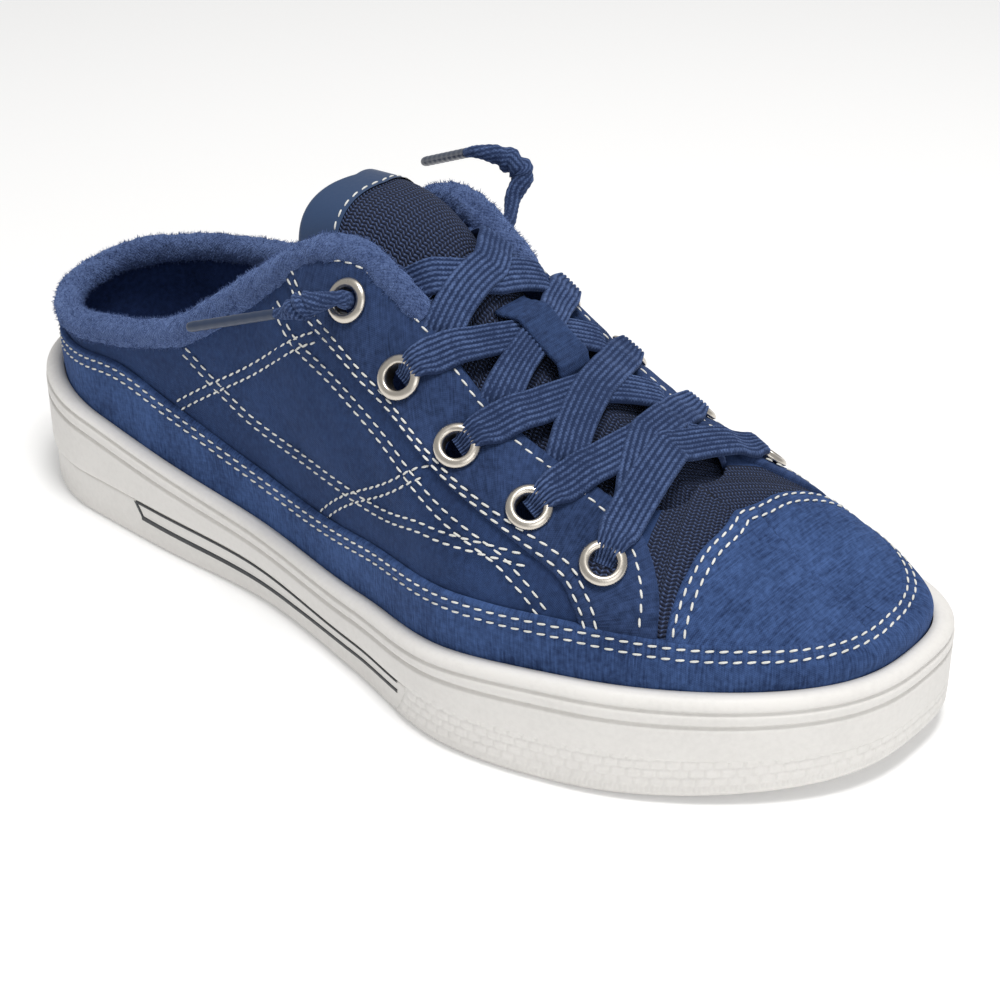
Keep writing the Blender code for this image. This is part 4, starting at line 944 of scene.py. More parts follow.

# %% [markdown]
# ## Cloth panels
# A panel is an outer surface whose borders roll down to the layer below, like folded cloth.
# The height over the last is a function of the distance to the border, measured on the
# surface. Stitching pulls the cloth down, so every stitch row adds a shallow trough.
# Creases are listed: a short line, a width and a depth.

# %% Relief of seams and creases


def distance_to(points, path):
    """Distance from each point to the nearest point of a path, worked in blocks."""
    flat = points.reshape(-1, 3).astype(np.float32)
    path = path.astype(np.float32)
    blocks = []
    for start in range(0, len(flat), 20000):
        part = flat[start:start + 20000]
        square = (part**2).sum(1)[:, None] + (path**2).sum(1)[None, :] - 2 * part @ path.T
        blocks.append(np.sqrt(np.clip(square.min(1), 0, None)))
    return np.concatenate(blocks).reshape(points.shape[:-1])


def on_last(side, table, offset=0.0, step=0.6 * MM):
    """Even points on the last along a short table of stations and shares, with normals."""
    table = np.array(table, float)
    where = lengths(table, 0)
    at = np.linspace(0, where[-1], 240)
    s, h = (curve(np.stack([where, table[:, k]], 1), 1, at) for k in (0, 1))
    path = even_path(np.concatenate([skin(side, s, h, offset), np.stack([s, h], 1)], 1), step)
    return path[:, :3], normals(side, path[:, 3], path[:, 4])


# side, station and share at both ends, half width in mm, depth in mm
CREASES = (
    ("lateral", 0.405, 0.235, 0.470, 0.155, 3.5, -0.45),
    ("lateral", 0.440, 0.330, 0.505, 0.190, 4.5, 0.40),
    ("lateral", 0.500, 0.340, 0.560, 0.200, 3.5, -0.40),
    ("lateral", 0.575, 0.560, 0.600, 0.480, 3.0, -0.40),
    ("lateral", 0.632, 0.560, 0.655, 0.455, 2.6, -0.45),
    ("lateral", 0.645, 0.650, 0.690, 0.500, 3.0, 0.35),
    ("lateral", 0.688, 0.520, 0.735, 0.400, 2.6, -0.35),
    ("lateral", 0.590, 0.350, 0.650, 0.300, 3.5, -0.40),
    ("lateral", 0.420, 0.300, 0.432, 0.200, 2.6, 0.35),
    ("medial", 0.420, 0.260, 0.500, 0.170, 4.0, -0.45),
    ("medial", 0.520, 0.330, 0.600, 0.240, 4.0, -0.40),
    ("medial", 0.630, 0.560, 0.665, 0.450, 3.0, -0.45),
    ("medial", 0.690, 0.520, 0.735, 0.400, 2.6, -0.35),
    ("lateral", 0.815, 0.700, 0.845, 0.960, 5.0, -0.45),
    ("lateral", 0.870, 0.620, 0.885, 0.930, 6.0, 0.45),
    ("medial", 0.815, 0.700, 0.850, 0.960, 5.0, -0.40),
    ("medial", 0.900, 0.640, 0.900, 0.930, 6.0, -0.35),
    ("lateral", 0.300, 0.060, 0.350, 0.090, 3.0, -0.30),
    ("lateral", 0.600, 0.060, 0.640, 0.140, 3.5, -0.30),
)


def creases(points):
    """Height of all creases at points: each is a soft ridge or trough round its line."""
    height = np.zeros(points.shape[:-1])
    for name, s0, h0, s1, h1, wide, depth in CREASES:
        side = dict(BOTH)[name]
        path, _ = on_last(side, ((s0, h0), ((s0 + s1) / 2, (h0 + h1) / 2), (s1, h1)), 0.0, 1.5 * MM)
        away = distance_to(points, path) / (wide * MM)
        height += depth * MM * np.exp(-away**2)
    return height


def lumps(rows, columns, fine_rows, fine_columns, seed):
    """Smooth random heights from -1 to 1: a coarse random lattice read between its points."""
    lattice = np.random.default_rng(seed).uniform(-1, 1, (fine_rows + 2, fine_columns + 2))
    u, v = np.linspace(0, fine_rows, rows), np.linspace(0, fine_columns, columns)
    i, j = np.floor(u).astype(int), np.floor(v).astype(int)
    a, b = smooth_step(0, 1, u - i)[:, None], smooth_step(0, 1, v - j)[None, :]
    top = lattice[i][:, j] * (1 - b) + lattice[i][:, j + 1] * b
    low = lattice[i + 1][:, j] * (1 - b) + lattice[i + 1][:, j + 1] * b
    return top * (1 - a) + low * a


def troughs(away, rows):
    """Stitch rows at distances in mm from an edge: each pulls the cloth down a little."""
    height = np.zeros_like(away)
    for row in rows:
        height -= 0.20 * MM * np.exp(-(((away / MM) - row) / 0.55) ** 2)
        height += 0.05 * MM * np.exp(-(((away / MM) - row - 1.3) / 0.8) ** 2)
    return height


def panel(surface, first, second, rims, lift=0.0, depth=1.35 * MM, radius=0.8 * MM, stitched=(), edges="", extra=0.0):
    """Grid of a panel: rolled down at its rims, troughs along stitched rims, creased."""
    base = surface(first, second, 0.0)
    u, v = lengths(base, 0), lengths(base, 1)
    to = {"l": u, "r": u[-1:] - u, "d": v, "u": v[:, -1:] - v}
    away = np.full(base.shape[:2], 1.0)
    for rim in rims:
        away = np.minimum(away, to[rim])
    roll = np.sqrt(np.clip(1 - (1 - np.clip(away / radius, 0, 1)) ** 2, 0, 1))
    height = lift - depth * (1 - roll) + extra + creases(base)
    sewn = np.full(base.shape[:2], 1.0)
    for rim in edges:
        sewn = np.minimum(sewn, to[rim])
    if edges:
        height = height + troughs(sewn, stitched)
    return surface(first, second, height)


# %% [markdown]
# The quarter is one thin wall. It carries four crossing seams, each with two rows of stitches
# and a flat ridge between them. The table gives each seam as places on the last.

# %% Quarter
FOXING = ((0.000, 0.105), (0.160, 0.115), (0.220, 0.125), (0.278, 0.135), (0.351, 0.102), (0.407, 0.078),
          (0.484, 0.072), (0.569, 0.117), (0.655, 0.197), (0.696, 0.246), (0.748, 0.288), (0.788, 0.320),
          (0.847, 0.401), (0.912, 0.500), (0.964, 0.560), (1.000, 0.575))
SEAMS = {
    "long": ((0.358, 0.222), (0.391, 0.174), (0.425, 0.143), (0.488, 0.140), (0.532, 0.159), (0.599, 0.275),
             (0.650, 0.381), (0.672, 0.420)),
    "upper": ((0.442, 0.405), (0.470, 0.338), (0.566, 0.353), (0.651, 0.365), (0.667, 0.328), (0.690, 0.224)),
    "back_cross": ((0.349, 0.105), (0.423, 0.234), (0.486, 0.390)),
    "front_cross": ((0.490, 0.068), (0.549, 0.214), (0.594, 0.440)),
}
SEAM_HALF = 1.25


def foxing_top(side, s):
    """Share up the wall of the band's top edge, kept below the collar."""
    return np.minimum(curve(FOXING, 1, s), opening(side, s) - 0.03)


def wall_stations(front, count):
    """Stations round the foot up to a front station, crowded where the throat closes."""
    close = THROAT_ROUND + (THROAT_END - THROAT_ROUND) * np.sin(np.linspace(0, math.pi / 2, 26))
    return np.unique(np.concatenate([np.linspace(0, front, count), close[close < front], [front]]).round(6))


def seam_relief(points, side):
    """Ridge along each seam, a trough under each of its two stitch rows, and small puckers."""
    height = np.zeros(points.shape[:-1])
    for table in SEAMS.values():
        path, _ = on_last(side, table, BASE_OUT)
        away = distance_to(points, path) / MM
        height += 0.22 * MM * np.exp(-(away / 1.1) ** 4)
        height -= 0.20 * MM * np.exp(-((away - SEAM_HALF) / 0.45) ** 2)
        height -= 0.10 * MM * np.exp(-((away - 3.2) / 1.6) ** 2)
    return height


def quarter(side):
    """Outer face of the wall, its rounded rim and a little of its inner face, as one grid."""
    s = wall_stations(0.742, 290)
    k = np.concatenate([np.linspace(0, 0.97, 88), [0.985, 1.0]])
    top = opening(side, s)[:, None]
    low = (foxing_top(side, s) * 0.75)[:, None]
    h = low + (top - low) * k[None, :]
    base = skin(side, s[:, None], h, BASE_OUT)
    height = BASE_OUT + seam_relief(base, side) + creases(base)
    height = height + 0.10 * MM * lumps(len(s), len(k), 60, 14, 5 + side)
    outer = skin(side, s[:, None], h, height)
    turn = np.linspace(0, math.pi, 7)[1:]
    half = (BASE_OUT - BASE_IN) / 2
    rim = [skin(side, s, np.minimum(top[:, 0] + 0.008 * math.sin(a), 1.0), BASE_OUT - half + half * math.cos(a)) for a in turn]
    return np.concatenate([outer, np.stack(rim, 1)], 1)


for name, side in BOTH:
    holes = [profile(side, s, h) + normals(side, s, h) * BASE_OUT for s, h in EYELETS]
    piece = grid_object(f"quarter_{name}", quarter(side), QUARTER, flip=side == MEDIAL, holes=holes)
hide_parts("upper")

# %% [markdown]
# The foxing band wraps the foot of the upper, the cap covers the toe, and a facing on each
# side carries the eyelets. The cap is one grid over both sides. Its cloth map is laid from
# above, so that the slubs run across the toe as on the shoe.

# %% Foxing band
BAND_ROWS = np.concatenate([np.linspace(0, 0.8, 34), 1 - (np.array([5.2, 4.8, 4.4, 4.0, 3.6, 3.2, 2.8, 2.4, 2.0, 1.7, 1.4, 1.15,
                                                                      0.9, 0.7, 0.5, 0.35, 0.2, 0.1, 0.0])) / 26])


def band_grid():
    """Band from below the sole's lip to its stitched, rolled top edge, all round the foot."""
    p = STATIONS
    top = by_side(foxing_top, p)
    h = top[:, None] * BAND_ROWS[None, :]
    seam = np.exp(-((p[:, None] - 0.337 + 0.022 * BAND_ROWS[None, :]) / 0.0016) ** 2)
    wavy = 0.12 * MM * lumps(len(p), len(BAND_ROWS), 90, 4, 3)
    grid = panel(around, p[:, None] + 0 * h, h, "u", lift=0.30 * MM, stitched=(1.6, 4.1), edges="u",
                 extra=wavy - 0.35 * MM * seam)
    skirt = grid[:, :1] - np.array([0, 0, 2.4 * MM])
    return np.concatenate([skirt, grid], 1)


band = grid_object("foxing_cloth", band_grid(), CANVAS)
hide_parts("foxing_band")

# %% Toe cap
CAP_EDGE = ((0.00, 0.770), (0.25, 0.771), (0.50, 0.775), (0.72, 0.784), (0.90, 0.800), (1.00, 0.807))


def cap_place(w, u):
    """Station and share of the cap at w across both sides and u from its edge to the toe."""
    k = np.where(w <= 1, w, 2 - w)
    edge = curve(CAP_EDGE, 1, k)
    s = edge + (1 - edge) * u
    band_top = foxing_top(LATERAL, s) - 0.035
    return s, band_top + (1 - band_top) * k


def cap_surface(w, u, height):
    """Point of the cap; the side is told by w."""
    s, h = cap_place(w, u)
    return np.where((w <= 1)[..., None], skin(LATERAL, s, h, height), skin(MEDIAL, s, h, height))


def cap_uv(grid):
    """Cloth map laid from above and let down over the sides."""
    x, y, z = np.moveaxis(grid, -1, 0)
    drop = 0.075 - z
    return np.stack([x + 0.35 * drop, y + np.sign(y - 0.008) * 0.45 * drop], -1).reshape(-1, 2)


u_line = np.concatenate([np.array([0, 0.05, 0.1, 0.2, 0.3, 0.45, 0.6, 0.8, 1.0, 1.25, 1.5, 1.8, 2.1, 2.5, 3.0, 3.5, 4.0, 4.5, 5.0]) / 52,
                         np.linspace(0.11, 1, 78)])
w_line = np.linspace(0, 2, 281)
grid = panel(cap_surface, w_line[:, None] + 0 * u_line[None, :], u_line[None, :] + 0 * w_line[:, None], "d",
             stitched=(1.4, 4.0), edges="d", extra=0.10 * MM * lumps(len(w_line), len(u_line), 40, 16, 8))
cap = grid_object("toe_cap_cloth", grid, CANVAS, uv=cap_uv(grid), flip=True)
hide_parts("toe_cap")

# %% [markdown]
# A facing has a long body along the throat and a leg that goes down to the foxing band. It is
# a ruled grid: a line from each point of its lower border to the matching point of its upper
# border. Round hollows are pressed in where the eyelets sit.

# %% Facings with the eyelets' seats
FACING_LOW = ((0.452, 0.470), (0.479, 0.405), (0.522, 0.404), (0.567, 0.442), (0.621, 0.470), (0.646, 0.466),
              (0.670, 0.450), (0.686, 0.430), (0.697, 0.395), (0.704, 0.340), (0.709, 0.290), (0.713, 0.220))
FACING_TOP = ((0.452, 0.530), (0.472, 0.615), (0.493, 0.675), (0.517, 0.711), (0.556, 0.746), (0.600, 0.762),
              (0.650, 0.775), (0.692, 0.786), (0.722, 0.755), (0.744, 0.685), (0.7605, 0.520), (0.7655, 0.250))


def facing_place(side, t, k):
    """Station and share on a facing: t along it, k from its lower to its upper border."""
    knots = np.linspace(0, 1, len(FACING_LOW))
    low, top = (np.concatenate([knots[:, None], np.array(table)], 1) for table in (FACING_LOW, FACING_TOP))
    s = curve(low, 1, t) * (1 - k) + curve(top, 1, t) * k
    h = curve(low, 2, t) * (1 - k) + curve(top, 2, t) * k
    return s, h


def facing(side):
    """Facing grid with rolled borders, stitched low and front edges and eyelet seats."""
    t = np.linspace(0, 1, 290)[:, None]
    k = clustered(66, 0.075)[None, :]
    t, k = np.broadcast_arrays(t, k)

    def surface(t, k, height):
        s, h = facing_place(side, t, k)
        return skin(side, s, h, height)

    seats = 0.0
    base = surface(t, k, 0.0)
    for s, h in EYELETS:
        away = np.linalg.norm(base - profile(side, s, h), axis=-1) / MM
        seats = seats - 0.35 * MM * np.exp(-((away - 5.2) / 1.5) ** 2) - 0.9 * MM * np.exp(-(away / 4.0) ** 4)
    seats = seats - 0.30 * MM * smooth_step(0.93, 0.97, t)
    return panel(surface, t, k, "ud", stitched=(1.5, 4.2), edges="d", extra=seats + 0.08 * MM * lumps(*t.shape, 40, 8, 21))


for name, side in BOTH:
    holes = [profile(side, s, h) - normals(side, s, h) * 0.9 * MM for s, h in EYELETS]
    # The facing gets the darker copy of the canvas: painted shade.
    piece = grid_object(f"facing_{name}", facing(side), FACING_SHADED_CANVAS, flip=side == MEDIAL, holes=holes)
    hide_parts(f"eyestay_{name}")

# %% [markdown]
# Under the front of the throat lies a strip of knit that joins the two facings and the cap.
# Inside, a lining covers the wall and a footbed lies on the cup.

# %% Knit vamp, lining and footbed


def vamp(side):
    """Knit layer between facing and cap, with a rounded rim at the throat."""
    s = np.unique(np.concatenate([wall_stations(0.80, 300)[wall_stations(0.80, 300) > 0.700], np.linspace(0.80, 0.84, 12)]))
    k = np.linspace(0, 1, 60)
    top = opening(side, s)[:, None]
    h = 0.20 + (top - 0.20) * k[None, :]
    outer = skin(side, s[:, None], h, BASE_OUT - 0.15 * MM * (s[:, None] < 0.742))
    rim = [skin(side, s, np.minimum(top[:, 0] + 0.006 * math.sin(a), 1.0), BASE_OUT - (0.9 - 0.9 * math.cos(a)) * MM)
           for a in np.linspace(0, math.pi, 7)[1:]]
    return np.concatenate([outer, np.stack(rim, 1)], 1)


def lining(side):
    """Inner face of the wall from its rim to the footbed."""
    s = wall_stations(1.0, 150)
    h = opening(side, s)[:, None] * np.linspace(1, 0, 30)[None, :]
    inner = skin(side, s[:, None], h, BASE_IN)
    foot = inner[:, -1:] - np.array([0, 0, 6.0 * MM])
    return np.concatenate([inner, foot], 1)


for name, side in BOTH:
    piece = grid_object(f"vamp_knit_{name}", vamp(side), KNIT, flip=side == MEDIAL)
    holes = [profile(side, s, h) + normals(side, s, h) * BASE_IN for s, h in EYELETS]
    piece = grid_object(f"lining_{name}", lining(side), LINING, flip=side == LATERAL, holes=holes)

s_line = np.linspace(0, 1, 161)
share_line = np.linspace(0, 1, 41)
near_edge, far_edge = (np.stack([*plan(side, s_line, 8.2 * MM), np.zeros_like(s_line)], -1) for side in (LATERAL, MEDIAL))
bed = near_edge[:, None] * (1 - share_line)[None, :, None] + far_edge[:, None] * share_line[None, :, None]
bowl = (2 * share_line - 1)[None, :] ** 6 * 1.6 * MM
bed[..., 2] = sole_height(1, bed[..., 0]) - 3.9 * MM + bowl
footbed = grid_object("footbed", bed, LINING)
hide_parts("insole")

# %% [markdown]
# ## Fleece collar
# The collar is a soft roll: a tube along the opening's edge. Random lumps of two sizes push
# its surface out, and a fine bump gives the nap. Short tufts stand on it, so that its outline
# is fuzzy too.

# %% Collar roll
ROLL_STEP = 0.42 * MM


def collar_path(count):
    """Middle of the roll from the outer side round the heel to the inner side, with normals."""
    q = np.linspace(-ROLL_END, ROLL_END, count)
    lines, lifts = [], []
    for side, part in ((LATERAL, -q[q < 0]), (MEDIAL, q[q >= 0])):
        h = opening(side, part)
        lines.append(skin(side, part, h, (BASE_OUT + BASE_IN) / 2))
        lifts.append(normals(side, part, h))
    both = even_path(np.concatenate([np.concatenate(lines), np.concatenate(lifts)], 1), ROLL_STEP)
    return both[:, :3], unit(both[:, 3:])


line, lift = collar_path(1600)
taper = np.minimum(np.arange(len(line)), np.arange(len(line))[::-1]) * ROLL_STEP / MM
taper = 0.55 + 0.45 * np.sqrt(np.clip(taper / 6.0, 0, 1) * (2 - np.clip(taper / 6.0, 0, 1)))
taper[[0, -1]] = 1e-3
roll = tube(line, 1.0, 40, up=lift)
rows, columns = roll.shape[:2]
nap = 0.26 * lumps(rows, columns, rows // 5, 10, 31) + 0.17 * lumps(rows, columns, rows // 3, 20, 32)
nap = nap + 0.35 * lumps(rows, columns, rows // 24, 3, 33)
nap[:, -1] = nap[:, 0]
thick = (3.95 + nap)[..., None] * MM * taper[:, None, None]
grid = line[:, None] + (roll - line[:, None]) * thick
collar = grid_object("collar_fleece", grid, FLEECE)
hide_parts("collar_roll")
print("collar:", rows, "rings, length", round(rows * ROLL_STEP / MM), "mm")

# %% Tufts on the collar


def tufts(grid, count, seed):
    """Short bent hairs on a grid's surface: two-sided slips of four points each."""
    random = np.random.default_rng(seed)
    i, j = random.integers(4, grid.shape[0] - 4, count), random.integers(0, grid.shape[1] - 1, count)
    root = grid[i, j]
    out = unit(np.cross(grid[i + 1, j] - grid[i - 1, j], grid[i, j + 1] - grid[i, j - 1]))
    centre = line[i]
    out = out * np.sign(((root - centre) * out).sum(1))[:, None]
    lean = random.normal(0, 0.75, (count, 3))
    tip = root + unit(out + lean) * random.uniform(0.5, 1.15, (count, 1)) * MM
    across = unit(np.cross(tip - root, random.normal(0, 1, (count, 3)))) * 0.12 * MM
    corners = np.stack([root - across - out * 0.2 * MM, root + across - out * 0.2 * MM, tip + across * 0.25, tip - across * 0.25], 1)
    faces = np.arange(count * 4).reshape(-1, 4)
    uv = np.repeat(np.stack([i * ROLL_STEP, j * 0.62 * MM], 1), 4, 0)
    return corners.reshape(-1, 3), faces, uv


fuzz = joined_object("collar_nap", [tufts(grid, 20000, 7)], FLEECE)

# %% [markdown]
# ## Tongue
# The tongue is a thin pad across the instep. Its outer and inner faces meet in rounded
# borders. The binding is the same pad a little thicker, folded over the top edge.

# %% Tongue and binding
TONGUE_SWEEP = 0.085


def tongue_edge(s):
    """Share up the wall of the tongue's side edges."""
    return 0.545 + 0.12 * smooth_step(0.42, 0.56, s)


def tongue_depth(side, s, h):
    """How far the tongue's outer face lies below the last."""
    edge = opening(side, s)
    deep = 4.38 + (7.48 - 4.38) * (1 - smooth_step(ROLL_END, ROLL_END + 0.04, s))
    puff = smooth_step(0.0, 1.0, (h - edge) / np.maximum(1 - edge, 0.05))
    middle = 2.0 + (4.38 - 2.0) * smooth_step(0.70, 0.75, s)
    return (deep + (middle - deep) * puff) * MM


def pad(start, end, thickness, extra, rolled, count, bumps=0.0):
    """Closed pad between two stations: outer face, then inner face, over both sides."""
    s0 = start + (end - start) * (clustered(count, 0.12) if rolled else np.linspace(0, 1, count))
    k = np.concatenate([-clustered(70, 0.05)[::-1] * 2 + 1])
    s0, k = np.broadcast_arrays(s0[:, None], k[None, :])
    low = tongue_edge(s0)
    h = 1 - np.abs(k) * (1 - low)
    s = s0 + TONGUE_SWEEP * (1 - h)
    faces = []
    for face in (0, 1):
        points = []
        for side in (LATERAL, MEDIAL):
            depth = tongue_depth(side, s, h)
            base = skin(side, s, h, -depth)
            points.append((base, depth))
        base = np.where((k <= 0)[..., None], points[0][0], points[1][0])
        u, v = lengths(base, 0), lengths(base, 1)
        away = np.minimum(v, v[:, -1:] - v)
        if rolled:
            away = np.minimum(away, u)
        half = thickness / 2
        round_off = half * (1 - np.sqrt(np.clip(1 - (1 - np.clip(away / half, 0, 1)) ** 2, 0, 1)))
        move = extra - round_off if face == 0 else extra - thickness + round_off
        if face == 0:
            move = move + bumps
        sheet = [skin(side, s, h, -points[side][1] + move) for side in (LATERAL, MEDIAL)]
        faces.append(np.where((k <= 0)[..., None], sheet[0], sheet[1]))
    return np.concatenate([faces[0], faces[1][:, ::-1][:, 1:]], 1)


pad_grid = pad(0.425, 0.80, 3.5 * MM, 0.0, False, 120)
tongue = grid_object("tongue_knit", pad_grid, KNIT)
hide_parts("tongue")
binding_grid = pad(0.394, 0.4325, 4.5 * MM, 0.5 * MM, True, 40)
binding = grid_object("tongue_binding_fold", binding_grid, BINDING)
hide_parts("tongue_binding")

# %% [markdown]
# ## Eyelets and laces
# An eyelet is turned: one profile, swung round its axis. Its lip is rounded and its barrel goes
# through the cloth.

# %% Eyelets
EYELET_PROFILE = ((3.1, -3.4), (3.1, -0.4), (3.15, 0.45), (3.35, 0.95), (3.75, 1.18), (4.2, 1.20), (4.7, 1.05),
                  (5.15, 0.75), (5.42, 0.42), (5.5, 0.15), (5.35, -0.05), (4.9, -0.25), (3.7, -0.3), (3.7, -3.4))


def at_eyelet(side, number):
    """Middle, normal and two level directions of an eyelet."""
    s, h = EYELETS[number - 1]
    point, normal = profile(side, s, h), normals(side, s, h)
    up = profile(side, s, h + 1e-3) - profile(side, s, h - 1e-3)
    up = unit(up - normal * (up @ normal))
    return point, normal, np.cross(up, normal), up


def eyelet(side, number):
    """Turned eyelet with a soft lip."""
    point, normal, across, up = at_eyelet(side, number)
    outline = smooth_path(np.array(EYELET_PROFILE), 30) * MM
    turn = np.linspace(0, 2 * np.pi, 49)[:, None, None]
    radial = across * np.cos(turn) + up * np.sin(turn)
    return point + radial * outline[None, :, :1] + normal * outline[None, :, 1:]


for name, side in BOTH:
    for number in range(1, 6):
        piece = grid_object(f"eyelet_ring_{name}_{number}", eyelet(side, number), METAL)
        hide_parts(f"eyelet_{name}_{number}")

# %% [markdown]
# The straps are laid one on another. Each is led over the last between two eyelets. Where an
# earlier strap lies below, the new one is lifted on top of it, and the lift is smoothed so
# that it bends softly. The order of the list is the order of lacing, from the lowest strap to
# the highest one.

# %% Lace straps
STRAPS = (
    (LATERAL, 1, "under", MEDIAL, 2, "under"), (LATERAL, 2, "under", MEDIAL, 1, "under"),
    (MEDIAL, 3, "under", LATERAL, 2, "over"), (LATERAL, 3, "under", MEDIAL, 2, "over"),
    (MEDIAL, 4, "under", LATERAL, 3, "over"), (LATERAL, 4, "under", MEDIAL, 3, "over"),
    (MEDIAL, 5, "under", LATERAL, 4, "over"), (LATERAL, 5, "under", MEDIAL, 4, "over"),
    (LATERAL, 5, "over", MEDIAL, 5, "over"),
)
LACE_THICKNESS = 1.0 * MM
LAID = []


def strap_line(strap, count=104):
    """Stations, shares and sides along a strap, from one end over the ridge to the other."""
    side_a, number_a, end_a, side_b, number_b, end_b = strap
    ends = []
    for side, number, kind in ((side_a, number_a, end_a), (side_b, number_b, end_b)):
        s, h = EYELETS[number - 1]
        if kind == "under":
            edge = float(opening(side, s))
            h = edge - 3.5 * MM / 0.075 if s > ROLL_END else edge - 0.02
            h = max(h, 0.6)
            s = s + 0.010
        ends.append((s, h))
    t = np.linspace(0, 1, count)
    (s_a, h_a), (s_b, h_b) = ends
    way = t * ((1 - h_a) + (1 - h_b))
    first = way <= 1 - h_a
    h = np.where(first, h_a + way, 1 - (way - (1 - h_a)))
    s = s_a + (s_b - s_a) * t + 0.004 * np.sin(np.pi * t) * np.sign(s_b - s_a + 1e-9)
    h = np.clip(h, 0, 1)
    side = np.where(first, side_a, side_b)
    pick = (side == LATERAL)[:, None]
    base = np.where(pick, skin(LATERAL, s, h, 0.0), skin(MEDIAL, s, h, 0.0))
    out = np.where(pick, normals(LATERAL, s, h), normals(MEDIAL, s, h))
    return base, unit(out)


def blur(values, width):
    """Mean with the neighbours, weighted by a bell of that width in samples."""
    reach = int(3 * width)
    bell = np.exp(-(np.arange(-reach, reach + 1) / width) ** 2)
    padded = np.pad(values, reach, mode="edge")
    return np.convolve(padded, bell / bell.sum(), mode="valid")


def strap_grid(strap):
    """A flat, ribbed band along a strap's line, lifted over the straps below it."""
    base, out = strap_line(strap)
    out = unit(np.stack([blur(out[:, k], 3.5) for k in range(3)], 1))
    far = lengths(base, 0)
    total = far[-1]
    lift = np.full(len(base), 0.25 * MM)
    for under_base, under_top in LAID:
        away = np.linalg.norm(base[:, None] - under_base[None], axis=-1)
        near = away < 6.4 * MM
        need = np.where(near, under_top[None, :] + 0.15 * MM, -1.0).max(1)
        lift = np.maximum(lift, need)
    lift = np.maximum(blur(lift, 3.5), lift * 0.985)
    lift = blur(lift, 2)
    width = np.full(len(base), LACE_WIDTH)
    thick = np.full(len(base), LACE_THICKNESS)
    for number, kind, d in ((strap[1], strap[2], far), (strap[4], strap[5], total - far)):
        if kind == "over":
            hole = 1 - smooth_step(1.5 * MM, 6.0 * MM, d)
            over_rim = np.exp(-((d - 4.6 * MM) / (2.6 * MM)) ** 2)
            seat = (0.30 + 1.25 * over_rim) * MM
            free = smooth_step(7 * MM, 13 * MM, d)
            lift = np.where(d < 13 * MM, seat * (1 - free) + np.maximum(lift, seat) * free, lift)
            lift = lift - 3.2 * MM * hole
            width = width * (1 - 0.47 * (1 - smooth_step(1.0 * MM, 9.5 * MM, d)))
            thick = thick * (1 + 0.35 * (1 - smooth_step(1.0 * MM, 8 * MM, d)))
        else:
            near, far_off, deep = (5.0, 14.0, 6.9) if number == 1 else (2.0, 9.0, 4.6)
            tuck = 1 - smooth_step(near * MM, far_off * MM, d)
            lift = lift * (1 - tuck) - deep * MM * tuck
    if strap[1] + strap[4] == 5 and 2 in (strap[1], strap[4]):
        width = width * (0.86 + 0.14 * smooth_step(0.12, 0.4, np.abs(far / total - 0.5)))
    LAID.append((base, lift + thick))
    path = base + out * lift[:, None]
    way = unit(np.gradient(path, axis=0))
    across = unit(np.cross(way, out))
    normal = np.cross(across, way)
    a = np.linspace(-1, 1, 43)
    pillow = np.sqrt(np.clip(1 - np.abs(a) ** 9, 0, 1))
    ribs = np.abs(np.cos(np.pi * a * LACE_RIBS / 2)) ** 0.7
    crown = (0.80 + 0.20 * pillow) * pillow
    top = crown[None, :] * thick[:, None] + (0.50 * ribs * pillow)[None, :] * MM
    half = width[:, None] / 2 * a[None, :]
    upper = path[:, None] + across[:, None] * half[..., None] + normal[:, None] * top[..., None]
    lower = path[:, None] + across[:, None] * half[..., None]
    sheet = np.concatenate([upper, lower[:, ::-7][:, 1:]], 1)
    loop = np.concatenate([a, a[::-7][1:]]) * LACE_WIDTH / 2
    uv = np.stack(np.broadcast_arrays(far[:, None], loop[None, :]), -1).reshape(-1, 2)
    return sheet, uv


parts = []
for strap in STRAPS:
    sheet, uv = strap_grid(strap)
    parts.append((sheet.reshape(-1, 3), grid_faces(*sheet.shape[:2]), uv))
laces = joined_object("lace_straps", parts, LACE)
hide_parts("lace_crossings")
print("straps:", len(parts), "highest", round(max(top.max() for _, top in LAID) / MM, 1), "mm over the last")

# %% Keeper loop on the tongue
KEEPER_HALF = 5.7 * MM
s_line = np.linspace(0.562, 0.630, 90)
ridge = profile(LATERAL, s_line, 1.0)
out = normals(LATERAL, s_line, 1.0)
t = np.linspace(-1, 1, 90)
high = max(top[np.linalg.norm(base - ridge[45], axis=1) < 7 * MM].max(initial=0) for base, top in LAID) + 0.2 * MM
seat = -2.0 * MM
arch = seat + (high - seat) * (1 - smooth_step(0.52, 0.98, np.abs(t)))
path = ridge + out * arch[:, None]
way = unit(np.gradient(path, axis=0))
across = unit(np.cross(way, out))
a = np.linspace(-1, 1, 25)
pillow = np.sqrt(np.clip(1 - np.abs(a) ** 8, 0, 1))
ribs = 0.5 + 0.5 * np.cos(2 * np.pi * np.arange(90)[:, None] / 5.5)
height = pillow[None, :] * (0.9 + 0.22 * ribs) * MM
side_way = across[:, None] * (a * KEEPER_HALF)[None, :, None]
face = path[:, None] + side_way + np.cross(across, way)[:, None] * height[..., None]
back = path[:, None] + side_way
keeper = grid_object("keeper_loop", np.concatenate([face, back[:, ::-1][:, 1:]], 1), WEBBING)
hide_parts("lace_keeper")

# %% [markdown]
# ## Stitching
# All stitches are one joined mesh. One short, flattened capsule is made once. It is then
# copied along each row by multiplying its points with the row's directions, all rows at once.

# %% Stitches
STITCH_PITCH, STITCH_LENGTH = 3.2 * MM, 2.15 * MM
STITCH_RINGS, STITCH_SIDES = 6, 7


